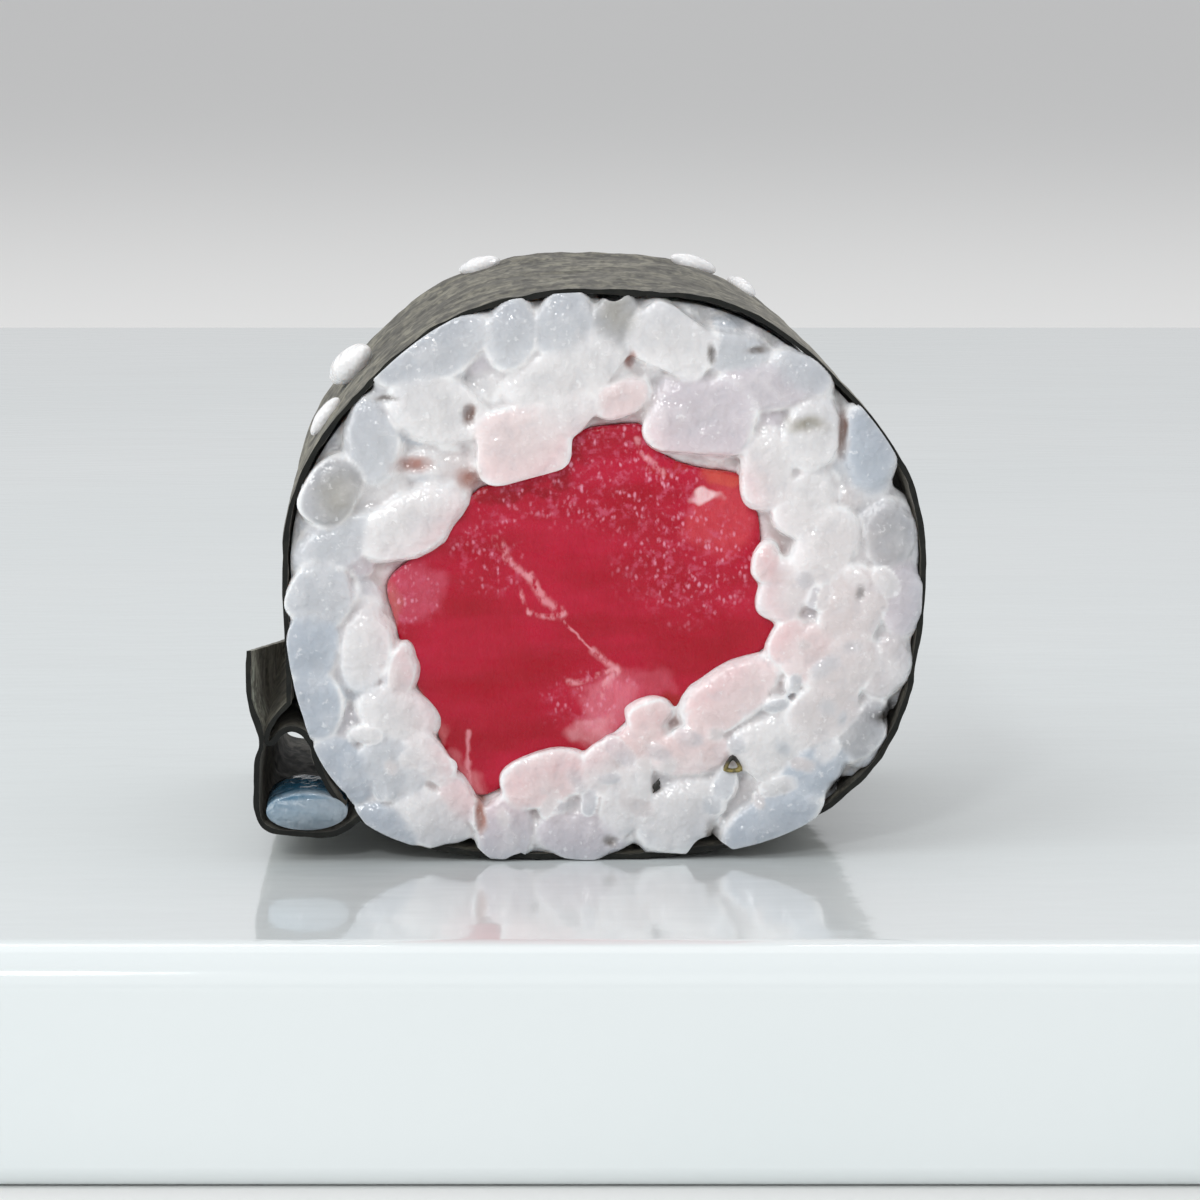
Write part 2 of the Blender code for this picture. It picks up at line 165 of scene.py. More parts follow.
# Rice grains of the front face: middle, length and width in the photograph's pixels, degrees up to the
# right, form and tint
FRONT_GRAINS = (
    (435, 345, 122, 58, 25, "oval", "clear"),
    (440, 405, 95, 64, -20, "block", "white"),
    (512, 328, 72, 50, 80, "oval", "clear"),
    (566, 322, 76, 62, 80, "oval", "clear"),
    (566, 372, 140, 60, 30, "block", "white"),
    (556, 416, 90, 44, 25, "block", "white"),
    (522, 440, 92, 74, 8, "cut", "pink"),
    (372, 436, 88, 54, 95, "oval", "clear"),
    (415, 516, 110, 60, 30, "oval", "white"),
    (334, 486, 70, 50, 60, "block", "grey"),
    (336, 538, 98, 52, 30, "oval", "clear"),
    (322, 590, 66, 62, 60, "block", "clear"),
    (364, 640, 92, 50, 85, "oval", "white"),
    (312, 640, 72, 54, 80, "block", "blue"),
    (398, 712, 80, 56, -20, "oval", "white"),
    (315, 698, 76, 50, 100, "oval", "blue"),
    (343, 768, 80, 54, -55, "oval", "blue"),
    (392, 766, 74, 58, -40, "block", "clear"),
    (432, 818, 80, 54, -30, "oval", "white"),
    (383, 826, 76, 46, -25, "oval", "blue"),
    (505, 832, 66, 56, 80, "block", "lilac"),
    (545, 778, 84, 50, 20, "block", "pink"),
    (582, 838, 96, 52, -6, "oval", "lilac"),
    (630, 797, 86, 46, 70, "block", "white"),
    (680, 815, 90, 70, 30, "oval", "white"),
    (772, 826, 110, 54, 30, "oval", "blue"),
    (690, 754, 84, 44, 5, "block", "pink"),
    (732, 692, 104, 56, 32, "oval", "pink"),
    (774, 744, 80, 56, 30, "block", "white"),
    (640, 742, 60, 40, 40, "block", "pink"),
    (812, 652, 62, 50, 60, "block", "pink"),
    (786, 588, 64, 46, 70, "block", "white"),
    (828, 542, 76, 56, 60, "block", "white"),
    (890, 532, 70, 56, 95, "oval", "grey"),
    (854, 606, 84, 60, 75, "block", "warm"),
    (904, 596, 84, 46, 88, "oval", "lilac"),
    (888, 664, 72, 48, 70, "oval", "warm"),
    (846, 668, 80, 52, 50, "block", "warm"),
    (826, 712, 80, 54, 40, "block", "warm"),
    (428, 756, 66, 34, -52, "oval", "white"),
    (456, 800, 58, 34, -62, "oval", "pink"),
    (402, 668, 54, 24, 80, "oval", "warm"),
    (716, 716, 60, 34, 24, "block", "pink"),
    (600, 768, 52, 36, 60, "block", "white"),
    (652, 716, 44, 28, 20, "block", "pink"),
    (790, 640, 50, 34, 60, "oval", "pink"),
    (768, 560, 40, 24, 80, "oval", "pink"),
    (864, 732, 70, 44, 55, "oval", "grey"),
    (818, 772, 72, 50, 40, "block", "blue"),
    (868, 448, 92, 56, 100, "oval", "blue"),
    (814, 430, 74, 54, 70, "block", "white"),
    (768, 466, 80, 50, 88, "block", "white"),
    (808, 500, 74, 52, 60, "block", "white"),
    (770, 382, 112, 48, 6, "block", "lilac"),
    (700, 413, 104, 84, -11, "cut", "lilac"),
    (672, 336, 84, 62, -30, "cut", "white"),
    (732, 348, 84, 44, -12, "oval", "clear"),
    (618, 318, 60, 50, 80, "block", "grey"),
    (622, 394, 60, 36, 20, "block", "pink"),
    (800, 370, 66, 44, -25, "oval", "clear"),
)
GRAIN_TINT_LAYER = "grain_tint"
GRAIN_TINTS = {
    "white": (0.86, 0.845, 0.845),
    "clear": (0.67, 0.69, 0.72),
    "blue": (0.55, 0.61, 0.68),
    # The grey tint, which only grains along the nori get, is painted shade where the dark sheet shows
    # through the rice
    "grey": (0.46, 0.46, 0.47),
    "lilac": (0.71, 0.66, 0.70),
    "pink": (0.89, 0.76, 0.755),
    "warm": (0.77, 0.725, 0.72),
}
# Painted highlight along the grains' rims
RIM_HIGHLIGHT = (0.93, 0.93, 0.93)
# Painted shade in the creases between grains, redder near the tuna
CREASE_PAINTED_SHADE = (0.50, 0.49, 0.50)
TUNA_CREASE_PAINTED_SHADE = (0.50, 0.29, 0.25)
GRAIN_RIM = 0.92
GRAIN_RIM_WIDTH = 0.09
GRAIN_CORE = 0.75
GRAIN_CORE_SHADE = 0.17
GRAIN_BLEND = 0.10 * MM
CREASE_DEPTH = 0.10 * MM
FAINTEST = 1e-9
# Painted shade of the rice near the nori, where the dark sheet shows through
NORI_SHADE = (0.36, 0.39, 0.44)
TUNA_STAIN = (0.80, 0.50, 0.52)
GRAIN_LENGTH = 6.4 * MM
GRAIN_WIDTH = 2.6 * MM
GRAIN_THICKNESS = 2.4 * MM
GRAIN_SWELL = 1.18
GRAIN_DEPTHS = (0.50 * MM, 0.85 * MM)
GRAIN_TILT_DEG = 9
GRAIN_SPIN_DEG = 25
GRAIN_ROUNDNESS = {"oval": 2.0, "block": 2.7, "cut": 3.2}
RICE_VOXEL = 0.13 * MM
RICE_CAP = 3.0 * MM
RICE_BED = 0.85 * MM
KNIFE_FLATNESS = 0.28
RICE_RIPPLE = 0.07 * MM
RICE_RIPPLES_PER_M = 700
RICE_BEHIND = 0.30 * MM
RICE_LIP = 0.1 * MM
RICE_LIP_FADE = 0.4 * MM
RICE_WHITE = (0.90, 0.89, 0.89)
RICE_VEIL = (0.52, 0.54, 0.58)
# Colour of the painted glints on the rice
RICE_GLINT = (0.97, 0.97, 0.97)
FRONT_SEED = 3
BACK_SEED = 17

# Grains that are drawn: one for about each square of this side, how deep they lie, how far they stay from
# the tuna as a share of their width, their lengths, their widths and their tints. Scraps of broken rice lie
# this far inside the front face's edge, and right of or below these lines
PALE_TINTS = ("white", "white", "clear", "clear", "blue", "lilac", "warm")
FILL_GRAINS = (1.4 * MM, 1.34 * MM, 0.45, (2.2 * MM, 3.2 * MM), (1.8 * MM, 2.4 * MM), PALE_TINTS)
BACK_SIZES = ((3.2 * MM, GRAIN_LENGTH), (2.2 * MM, 1.1 * GRAIN_WIDTH))
BACK_GRAINS = (2.5 * MM, 0.70 * MM, 0.1, *BACK_SIZES, PALE_TINTS)
SCRAPS = (1.5 * MM, 0.50 * MM, 0.6, (0.9 * MM, 2.0 * MM), (0.6 * MM, 1.1 * MM), ("white", "warm", "clear"))
SCRAP_MARGIN = 1.3 * MM
SCRAPS_RIGHT_OF = 7.0 * MM
SCRAPS_BELOW = 6.0 * MM

# How far the rice stays inside the roll's outline: degrees round it and millimetres
RICE_EDGE = (
    (0, 0.14), (30, 0.13), (90, 0.15), (150, 0.11), (183, 0.12), (198, 0.48), (222, 0.55),
    (232, 0.10), (250, 0.00), (300, 0.02), (325, 0.08), (345, 0.12), (360, 0.14),
)

# Gaps between the outer grains where the sheet shows: middle and reach in the photograph's pixels, and
# depth in millimetres
RICE_GAPS = (
    (712, 862, 24, 0.80),
    (632, 864, 20, 0.40),
    (458, 862, 30, 0.55),
    (518, 864, 12, 0.35),
    (852, 790, 12, 0.40),
    (896, 722, 14, 0.45),
    (908, 478, 14, 0.40),
    (614, 290, 16, 0.45),
    (326, 470, 14, 0.35),
)

# Pits and marks of the front face: middle, half width and half height in the photograph's pixels, depth in
# millimetres, strength and colour. Their dark colours are painted shade in the pits and in the gaps where
# the nori shows, partly also a stain from the tuna in the red and brown ones. Stains are the same without a
# depth
DARK = (0.04, 0.035, 0.03)
GREY_BROWN = (0.20, 0.17, 0.15)
WARM_BROWN = (0.24, 0.14, 0.11)
OLIVE_GREY = (0.36, 0.34, 0.29)
RED_BROWN = (0.42, 0.20, 0.16)
JUICE = (0.80, 0.60, 0.58)
RICE_MARKS = (
    (470, 409, 10, 15, 0.40, 0.9, WARM_BROWN),
    (415, 461, 30, 11, 0.20, 0.7, RED_BROWN),
    (470, 474, 20, 18, 0.20, 0.7, RED_BROWN),
    (388, 393, 20, 5, 0.20, 0.6, GREY_BROWN),
    (843, 430, 8, 34, 0.35, 0.8, WARM_BROWN),
    (806, 421, 34, 14, 0.10, 0.7, OLIVE_GREY),
    (712, 350, 5, 14, 0.30, 0.6, GREY_BROWN),
    (757, 347, 18, 6, 0.30, 0.6, GREY_BROWN),
    (630, 354, 7, 14, 0.20, 0.7, RED_BROWN),
    (616, 306, 30, 40, 0.00, 0.45, OLIVE_GREY),
    (340, 490, 34, 40, 0.00, 0.45, OLIVE_GREY),
    (862, 590, 7, 12, 0.20, 0.35, GREY_BROWN),
    (479, 812, 7, 30, 0.30, 0.9, RED_BROWN),
    (612, 843, 12, 8, 0.30, 0.65, GREY_BROWN),
    (715, 840, 10, 22, 0.30, 0.9, GREY_BROWN),
    (843, 790, 16, 14, 0.30, 1.0, DARK),
    (893, 716, 24, 16, 0.30, 1.0, DARK),
    (908, 480, 12, 24, 0.30, 1.0, DARK),
)
RICE_STAINS = (
    (840, 600, 100, 150, 0.18, JUICE),
    (660, 730, 110, 60, 0.45, JUICE),
    (540, 790, 80, 50, 0.25, JUICE),
)
MARK_WOBBLE = 0.22 * MM
MARK_SEED = 5
MARK_WOBBLES_PER_M = 1100

# Grains stuck to the outside of the nori: degrees round the outline, share of the roll's length, degrees of
# turn and share of a full grain's size
STUCK_GRAINS = (
    (141, 0.50, 35, 0.62),
    (150, 0.28, 75, 0.34),
    (111, 0.90, 60, 0.36),
    (69, 0.93, 80, 0.36),
    (59, 0.88, 35, 0.34),
)
STUCK_GRAIN_SINK = 0.32 * MM

# The grain in the fold of the loose end
FOLD_GRAIN_CENTRE_MM = (-13.18, 0.9, 2.30)
FOLD_GRAIN_SIZE_MM = (3.7, 1.75, 8.0)
FOLD_GRAIN_RISE_DEG = 4.0
FOLD_GRAIN_FULLNESS = 0.70
FOLD_GRAIN_FRONT = 0.10 * MM
FOLD_GRAIN_BEVEL = 0.12 * MM
FOLD_GRAIN_RIM_DEPTH = 0.3 * MM
# Painted shade: the grain is the same rice, darkened and blued because it lies in the fold's shadow
FOLD_GRAIN_PAINTED_SHADE = (0.03, 0.135, 0.225)

# Bits of nori on the cut rice, a three-cornered one that is open in the middle and a dot: middle and radius
# in the photograph's pixels
CRUMB_RING = (734, 765, 11)
CRUMB_RING_STROKE = 4.0
CRUMB_DOT = (663, 783, 5.5)
CRUMB_LIFT = 0.09 * MM
CRUMB_REACH = 0.25 * MM
CRUMB_BLACK = (0.012, 0.011, 0.008)
CRUMB_OLIVE = (0.300, 0.240, 0.070)

# Threads of white tissue in the tuna's cut face, from one pixel of the photograph to the next, and width
TUNA_THREADS = (
    ((498, 540), (527, 574), 3.5),
    ((527, 574), (562, 614), 4.0),
    ((522, 588), (528, 612), 2.0),
    ((528, 612), (560, 615), 2.5),
    ((594, 649), (618, 670), 4.0),
    ((618, 670), (566, 684), 2.5),
    ((566, 620), (592, 648), 1.2),
    ((618, 672), (598, 700), 3.0),
    ((468, 732), (468, 794), 2.5),
    ((637, 437), (648, 456), 3.0),
    ((648, 456), (664, 470), 3.0),
    ((716, 692), (736, 668), 3.0),
)

# Paler and browner patches of the tuna's cut face: middle and reach in the photograph's pixels, strength
# and colour. Parts with a painted sheen and painted glints are the same without a colour
TUNA_PATCHES = (
    (722, 515, 44, 48, 0.6, (0.66, 0.07, 0.09)),
    (702, 494, 20, 11, 1.0, (0.86, 0.56, 0.58)),
    (724, 474, 30, 10, 0.5, (0.7, 0.12, 0.07)),
    (606, 706, 34, 40, 0.5, (0.8, 0.26, 0.33)),
    (640, 686, 44, 24, 0.35, (0.72, 0.15, 0.21)),
    (594, 736, 30, 20, 0.45, (0.82, 0.4, 0.44)),
    (410, 588, 44, 34, 0.45, (0.66, 0.13, 0.2)),
    (390, 618, 16, 50, 0.6, (0.5, 0.14, 0.12)),
    (408, 690, 18, 44, 0.7, (0.62, 0.17, 0.17)),
    (434, 745, 20, 40, 0.7, (0.62, 0.17, 0.18)),
    (462, 785, 22, 30, 0.7, (0.64, 0.19, 0.21)),
    # Painted shadow under the overhanging rice along the upper left edge, over flesh that is darker there
    # as well
    (448, 514, 26, 14, 0.55, (0.25, 0.0, 0.005)),
    (480, 494, 30, 11, 0.6, (0.25, 0.0, 0.005)),
    (524, 488, 40, 9, 0.6, (0.25, 0.0, 0.005)),
    (562, 472, 18, 14, 0.55, (0.25, 0.0, 0.005)),
    (580, 448, 12, 18, 0.55, (0.28, 0.001, 0.006)),
    (690, 462, 50, 9, 0.6, (0.42, 0.01, 0.01)),
    (672, 705, 14, 12, 0.9, (0.36, 0.012, 0.012)),
    (480, 680, 70, 90, 0.3, (0.36, 0.003, 0.014)),
)
TUNA_GLINT_ZONES = (
    (606, 470, 120, 66, 1.0),
    (560, 500, 120, 30, 0.8),
    (690, 560, 90, 70, 0.9),
    (490, 555, 44, 44, 0.8),
    (410, 590, 40, 40, 0.9),
    (590, 700, 60, 40, 0.7),
)


class Value:
    """The output of a shader node, which can be used in sums with numbers and with other values."""

    def __init__(self, shader, socket):
        self.shader = shader
        self.socket = socket

    def maths(self, operation, *others):
        sockets = dict(enumerate((self, *others)))
        return self.shader.node("ShaderNodeMath", {"operation": operation}, sockets)

    def __add__(self, other):
        return self.maths("ADD", other)

    def __sub__(self, other):
        return self.maths("SUBTRACT", other)

    def __mul__(self, other):
        return self.maths("MULTIPLY", other)

    def __truediv__(self, other):
        return self.maths("DIVIDE", other)

    def __neg__(self):
        return self.maths("MULTIPLY", -1.0)

    def __rsub__(self, other):
        return -self + other

    __radd__ = __add__

    def between(self, low, high):
        """0 below low and 1 above high, smooth between them. High may be the lower one."""
        settings = {"interpolation_type": "SMOOTHSTEP"}
        return self.shader.node("ShaderNodeMapRange", settings, {0: self, 1: low, 2: high})


class Shader:
    """The nodes of one material."""

    def __init__(self, name, **looks):
        self.material = bpy.data.materials.new(name)
        self.material.use_nodes = True
        self.tree = self.material.node_tree
        self.surface = self.tree.nodes["Principled BSDF"]
        self.paint(**looks)

    def node(self, kind, settings=None, sockets=None, output=0):
        """Adds a node, makes its settings, feeds its sockets and gives one of its outputs."""
        added = self.tree.nodes.new(kind)
        for name, setting in (settings or {}).items():
            setattr(added, name, setting)
        for name, value in (sockets or {}).items():
            self.feed(added.inputs[name], value)
        return Value(self, added.outputs[output])

    def feed(self, socket, value):
        if isinstance(value, Value):
            self.tree.links.new(value.socket, socket)
        elif socket.type == "RGBA":
            socket.default_value = (*value, 1.0)
        else:
            socket.default_value = value

    def coordinates(self, kind="Object"):
        return self.node("ShaderNodeTexCoord", output=kind)

    def mapped(self, place, **change):
        return self.node("ShaderNodeMapping", sockets={"Vector": place, **change})

    def roll_place(self, stretch=(1, 1, 1)):
        """Place in the roll's own frame, stretched."""
        centred = self.mapped(self.coordinates(), Location=-ROLL_PLACE.translation)
        lined_up = self.mapped(centred, Rotation=(0, 0, -math.radians(ROLL_YAW_DEG)))
        return self.mapped(lined_up, Scale=stretch)

    def noise(self, where, scale, detail=3.0, roughness=0.55):
        """A noise from 0 to 1 with this many cells to the metre."""
        sockets = {"Vector": where, "Scale": scale, "Detail": detail, "Roughness": roughness}
        return self.node("ShaderNodeTexNoise", sockets=sockets)

    def mix(self, factor, first, second):
        """First where the factor is 0 and second where it is 1, as colours."""
        settings = {"data_type": "RGBA", "clamp_factor": True}
        return self.node("ShaderNodeMix", settings, {0: factor, 6: first, 7: second}, output=2)

    def warped(self, place, scale, reach):
        """The place, shifted this way and that by up to about the reach."""
        sockets = {"Vector": place, "Scale": scale, "Detail": 2.0}
        shift = self.node("ShaderNodeTexNoise", sockets=sockets, output="Color")
        centred = self.vector_maths("SUBTRACT", {0: shift, 1: (0.5, 0.5, 0.5)})
        scaled = self.vector_maths("SCALE", {0: centred, "Scale": 2 * reach})
        return self.vector_maths("ADD", {0: place, 1: scaled})

    def vector_maths(self, operation, sockets):
        return self.node("ShaderNodeVectorMath", {"operation": operation}, sockets)

    def axis(self, place, index):
        """One of a place's three coordinates: 0 for x, 1 for y and 2 for z."""
        return self.node("ShaderNodeSeparateXYZ", sockets={"Vector": place}, output=index)

    def from_line(self, place, start, end):
        """How far a place on the cut face is from the straight line between two pixels."""
        start_x, start_z = face_point(*start)
        end_x, end_z = face_point(*end)
        run_x = end_x - start_x
        run_z = end_z - start_z
        x = self.axis(place, 0) - start_x
        z = self.axis(place, 2) - start_z
        share = (x * run_x + z * run_z) / (run_x**2 + run_z**2)
        share = share.maths("MAXIMUM", 0.0).maths("MINIMUM", 1.0)
        off_x = x - share * run_x
        off_z = z - share * run_z
        return (off_x * off_x + off_z * off_z).maths("SQRT")

    def patch(self, place, px, py, half_width, half_height):
        """1 in the middle of an oval of the cut face, given in pixels, and 0 outside it."""
        middle_x, middle_z = face_point(px, py)
        x = (self.axis(place, 0) - middle_x) / (half_width * PHOTO_PIXEL)
        z = (self.axis(place, 2) - middle_z) / (half_height * PHOTO_PIXEL)
        return (x * x + z * z).between(1.0, 0.25)

    def bump(self, height, strength, distance):
        sockets = {"Height": height, "Strength": strength, "Distance": distance}
        return self.node("ShaderNodeBump", sockets=sockets)

    def paint(self, **looks):
        """Feeds the surface's own sockets, such as Base_Color, and gives the material."""
        for name, value in looks.items():
            self.feed(self.surface.inputs[name.replace("_", " ")], value)
        return self.material


def add_object(name, data):
    obj = bpy.data.objects.new(name, data)
    bpy.context.scene.collection.objects.link(obj)
    return obj


def select_only(obj):
    bpy.ops.object.select_all(action="DESELECT")
    obj.select_set(True)
    bpy.context.view_layer.objects.active = obj


def newest(name):
    """Names the object that an operator has just added."""
    obj = bpy.context.object
    obj.name = name
    obj.data.name = name
    return obj


def apply_modifier(obj, kind, **settings):
    select_only(obj)
    modifier = obj.modifiers.new(kind.lower(), kind)
    for name, value in settings.items():
        setattr(modifier, name, value)
    bpy.ops.object.modifier_apply(modifier=modifier.name)


def apply_place(obj):
    select_only(obj)
    bpy.ops.object.transform_apply(location=True, rotation=True, scale=True)


@contextmanager
def editing(obj, mode, test=None):
    """Edit mode with all selected, or only the vertices, edges or faces that pass the test."""
    select_only(obj)
    bpy.ops.object.mode_set(mode="EDIT")
    bpy.ops.mesh.select_mode(type=mode)
    bpy.ops.mesh.select_all(action="DESELECT" if test else "SELECT")
    if test:
        bm = bmesh.from_edit_mesh(obj.data)
        for part in {"VERT": bm.verts, "EDGE": bm.edges, "FACE": bm.faces}[mode]:
            if test(part):
                part.select_set(True)
        bmesh.update_edit_mesh(obj.data)
    yield
    bpy.ops.object.mode_set(mode="OBJECT")


def resize_where(obj, test, value):
    """Scales the vertices that pass the test about the object's origin."""
    with editing(obj, "VERT", test):
        bpy.ops.transform.resize(value=value, center_override=(0, 0, 0))


def shift_where(obj, test, value):
    """Moves the vertices that pass the test."""
    with editing(obj, "VERT", test):
        bpy.ops.transform.translate(value=value)


def shade_smooth(obj):
    select_only(obj)
    bpy.ops.object.shade_smooth()


def subdivide(obj):
    apply_modifier(obj, "SUBSURF", levels=1, render_levels=1)


def put_on_plate(obj):
    """Moves a piece from the roll's own frame to its place on the plate."""
    obj.data.transform(ROLL_PLACE)


def dress(obj, material, slot, *nodes):
    """Gives a finished piece its material and its place in the frame."""
    obj.data.materials.clear()
    obj.data.materials.append(material)
    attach(obj, "root")
    if nodes:
        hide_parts(*nodes)


def face_point(px, py):
    """(x, z) on the roll's cut face that the photograph shows at a pixel."""
    return (px - PHOTO_ROLL_MIDDLE) * PHOTO_PIXEL, (PHOTO_ROLL_FOOT - py) * PHOTO_PIXEL


def signed_power(value, power):
    return math.copysign(abs(value) ** power, value)


def roll_point(turn_deg, inset=0.0):
    """(x, z) on the roll's outline, moved in by the inset. 0 is at the right, 90 at the top."""
    turn = math.radians(turn_deg)
    across = math.cos(turn)
    up = math.sin(turn)
    if up >= 0:
        squareness = TOP_SQUARENESS
    elif across >= 0:
        squareness = RIGHT_FOOT_SQUARENESS
    else:
        squareness = LEFT_FOOT_SQUARENESS
    lump = LUMP_HEIGHT * math.sin(LUMPS_ROUND * turn) * max(0.0, up + 0.5)
    half_width = ROLL_HALF_WIDTH - inset + lump
    half_height = ROLL_HALF_HEIGHT - inset + lump
    x = half_width * signed_power(across, 2 / squareness)
    z = ROLL_HALF_HEIGHT + half_height * signed_power(up, 2 / squareness)
    return x, z


def in_mm(points):
    return [(x * MM, z * MM) for x, z in points]


def smooth_curve(points, steps, closed):
    """The points joined by a smooth curve through them, with this many steps from each to the next."""
    last = len(points) - 1
    result = []
    for span in range(last + closed):
        near = []
        for index in range(span - 1, span + 3):
            near.append(Vector(points[index % (last + 1) if closed else min(max(index, 0), last)]))
        before, start, end, after = near
        for step in range(steps):
            t = step / steps
            point = start * 2 + (end - before) * t
            point += (before * 2 - start * 5 + end * 4 - after) * t**2
            point += (start * 3 - before - end * 3 + after) * t**3
            result.append(tuple(point / 2))
    if not closed:
        result.append(tuple(points[-1]))
    return result


def prism(name, outlines, front, back):
    """A closed mesh object along y from flat outlines in x and z. An outline inside another is a hole."""
    flat = bpy.data.curves.new(name, "CURVE")
    flat.dimensions = "2D"
    flat.fill_mode = "BOTH"
    flat.extrude = (back - front) / 2
    for outline in outlines:
        spline = flat.splines.new("POLY")
        spline.points.add(len(outline) - 1)
        for point, (x, z) in zip(spline.points, outline):
            point.co = (x, z, 0.0, 1.0)
        spline.use_cyclic_u = True
    obj = add_object(name, flat)
    obj.rotation_euler.x = math.pi / 2
    obj.location.y = (front + back) / 2
    select_only(obj)
    bpy.ops.object.convert(target="MESH")
    apply_place(obj)
    with editing(obj, "VERT"):
        bpy.ops.mesh.remove_doubles(threshold=0.00001)
        bpy.ops.mesh.normals_make_consistent(inside=False)
    return obj


def read_array(items, name, width, kind=np.float32):
    """One property of each item of a mesh, as an array with this many columns."""
    values = np.empty(len(items) * width, kind)
    items.foreach_get(name, values)
    return values.reshape(-1, width)


def mesh_points(obj):
    return read_array(obj.data.vertices, "co", 3).astype(float)


def set_mesh_points(obj, points):
    obj.data.vertices.foreach_set("co", points.astype(np.float32).ravel())
    obj.data.update()


def make_camera():
    data = bpy.data.cameras.new("camera")
    data.sensor_width = CAMERA_SENSOR
    data.lens = CAMERA_PIXELS / PHOTO_SIZE * CAMERA_SENSOR
    data.clip_start = CAMERA_NEAR
    data.clip_end = CAMERA_FAR
    camera = add_object("camera", data)
    camera.location = (CAMERA_ASIDE, ROLL_FRONT_Y - CAMERA_TO_ROLL, PLATE_HIGH.z + CAMERA_OVER_PLATE)
    camera.rotation_euler = (math.radians(90 - CAMERA_DOWN_DEG), 0, 0)
    bpy.context.scene.camera = camera


def add_light(name, where, aim, size, power, colour):
    data = bpy.data.lights.new(name, "AREA")
    data.shape = "RECTANGLE"
    data.size = size[0]
    data.size_y = size[1]
    data.energy = power
    data.color = colour
    light = add_object(name, data)
    light.location = where
    direction = Vector(aim) - Vector(where)
    light.rotation_euler = direction.to_track_quat("-Z", "Y").to_euler()


def make_studio():
    """A plain pale floor, a pale sky and the lamps."""
    bpy.ops.mesh.primitive_plane_add(size=FLOOR_SIZE, location=FLOOR_MIDDLE)
    floor = newest("floor")
    floor.data.materials.append(Shader("pale_floor", Base_Color=FLOOR_COLOUR, Roughness=0.6).material)
    world = bpy.data.worlds.new("soft_daylight")
    world.use_nodes = True
    sky = world.node_tree.nodes["Background"]
    sky.inputs["Color"].default_value = (*WORLD_COLOUR, 1.0)
    sky.inputs["Strength"].default_value = WORLD_STRENGTH
    bpy.context.scene.world = world
    middle = (0, ROLL_FRONT_Y, PLATE_HIGH.z + ROLL_HALF_HEIGHT)
    for name, where, size, power, colour in LIGHTS:
        add_light(name, where, middle, size, power, colour)


def porcelain():
    """White glaze with a faint blue cast, and the slight waves that a fired glaze has."""
    shader = Shader("white_porcelain", Roughness=0.10, Coat_Weight=0.4, Coat_Roughness=0.04)
    place = shader.coordinates()
    cloud = shader.noise(place, 22.0, detail=2.0)
    colour = shader.mix(cloud.between(0.3, 0.7), GLAZE_GREY, GLAZE_WHITE)
    waves = shader.noise(shader.mapped(place, Scale=(1, 3, 1)), 40.0, detail=4.0)
    return shader.paint(Base_Color=colour, Normal=shader.bump(waves, 0.12, 1.0 * MM))


def nori_mottle(shader, blotch, fine, flecks, inland):
    """How pale the sheet is: mottled, with dark flecks, thin dark lines round the roll and a black edge."""
    folds = shader.noise(shader.roll_place((0.30, 1, 0.30)), 300.0, roughness=0.6)
    lines = (folds - 0.5).maths("ABSOLUTE").between(0.030, 0.004)
    mottle = blotch.between(0.40, 0.62) * 0.55 + fine.between(0.38, 0.64) * 0.45
    mottle = mottle * (flecks.between(0.38, 0.48) * 0.75 + 0.25)
    return mottle * (inland * 0.95 + 0.05) * (1 - lines * 0.75)


def nori_finish():
    """Green-black sheet, with painted shade in the fold of the loose end and a painted sheen on the inside
    of its upper part.
    """
    shader = Shader("toasted_nori", Specular_IOR_Level=0.25)
    shader.paint(Sheen_Weight=0.24, Sheen_Roughness=0.35, Sheen_Tint=NORI_SHEEN)
    place = shader.roll_place()
    lengthwise = shader.roll_place((1, 0.42, 1))
    blotch = shader.noise(lengthwise, 950.0, roughness=0.6)
    fine = shader.noise(lengthwise, 3000.0)
    flecks = shader.noise(lengthwise, 1500.0, detail=2.0)
    depth = shader.axis(place, 1)
    inland = depth.between(0.22 * MM, 0.60 * MM)
    mottle = nori_mottle(shader, blotch, fine, flecks, inland)
    facing = shader.axis(shader.coordinates("Normal"), 0)
    in_front = depth.between(6.0 * MM, 3.0 * MM) * facing.between(-0.45, -0.15)
    # Painted shade in the fold of the loose end, on the sheet's inner faces near the front
    for shade in FOLD_SHADES:
        mottle = mottle * (1 - shader.patch(place, *shade) * in_front * 0.95)
    colour = shader.mix(mottle, NORI_BLACK, NORI_OLIVE)
    # Painted sheen, patchy, on the inner face of the loose end's upper part
    scales = shader.noise(place, 2200.0).between(0.45, 0.60)
    inner_face_sheen = shader.patch(place, *FLAP_SHEEN) * in_front * inland
    colour = shader.mix(inner_face_sheen * (scales * 0.85 + 0.15), colour, NORI_PAINTED_SHEEN)
    relief = shader.bump(blotch * 0.5 + fine * 0.3 + flecks * 0.4, 0.5, 0.15 * MM)
    return shader.paint(Base_Color=colour, Roughness=0.62 - mottle * 0.10, Normal=relief)


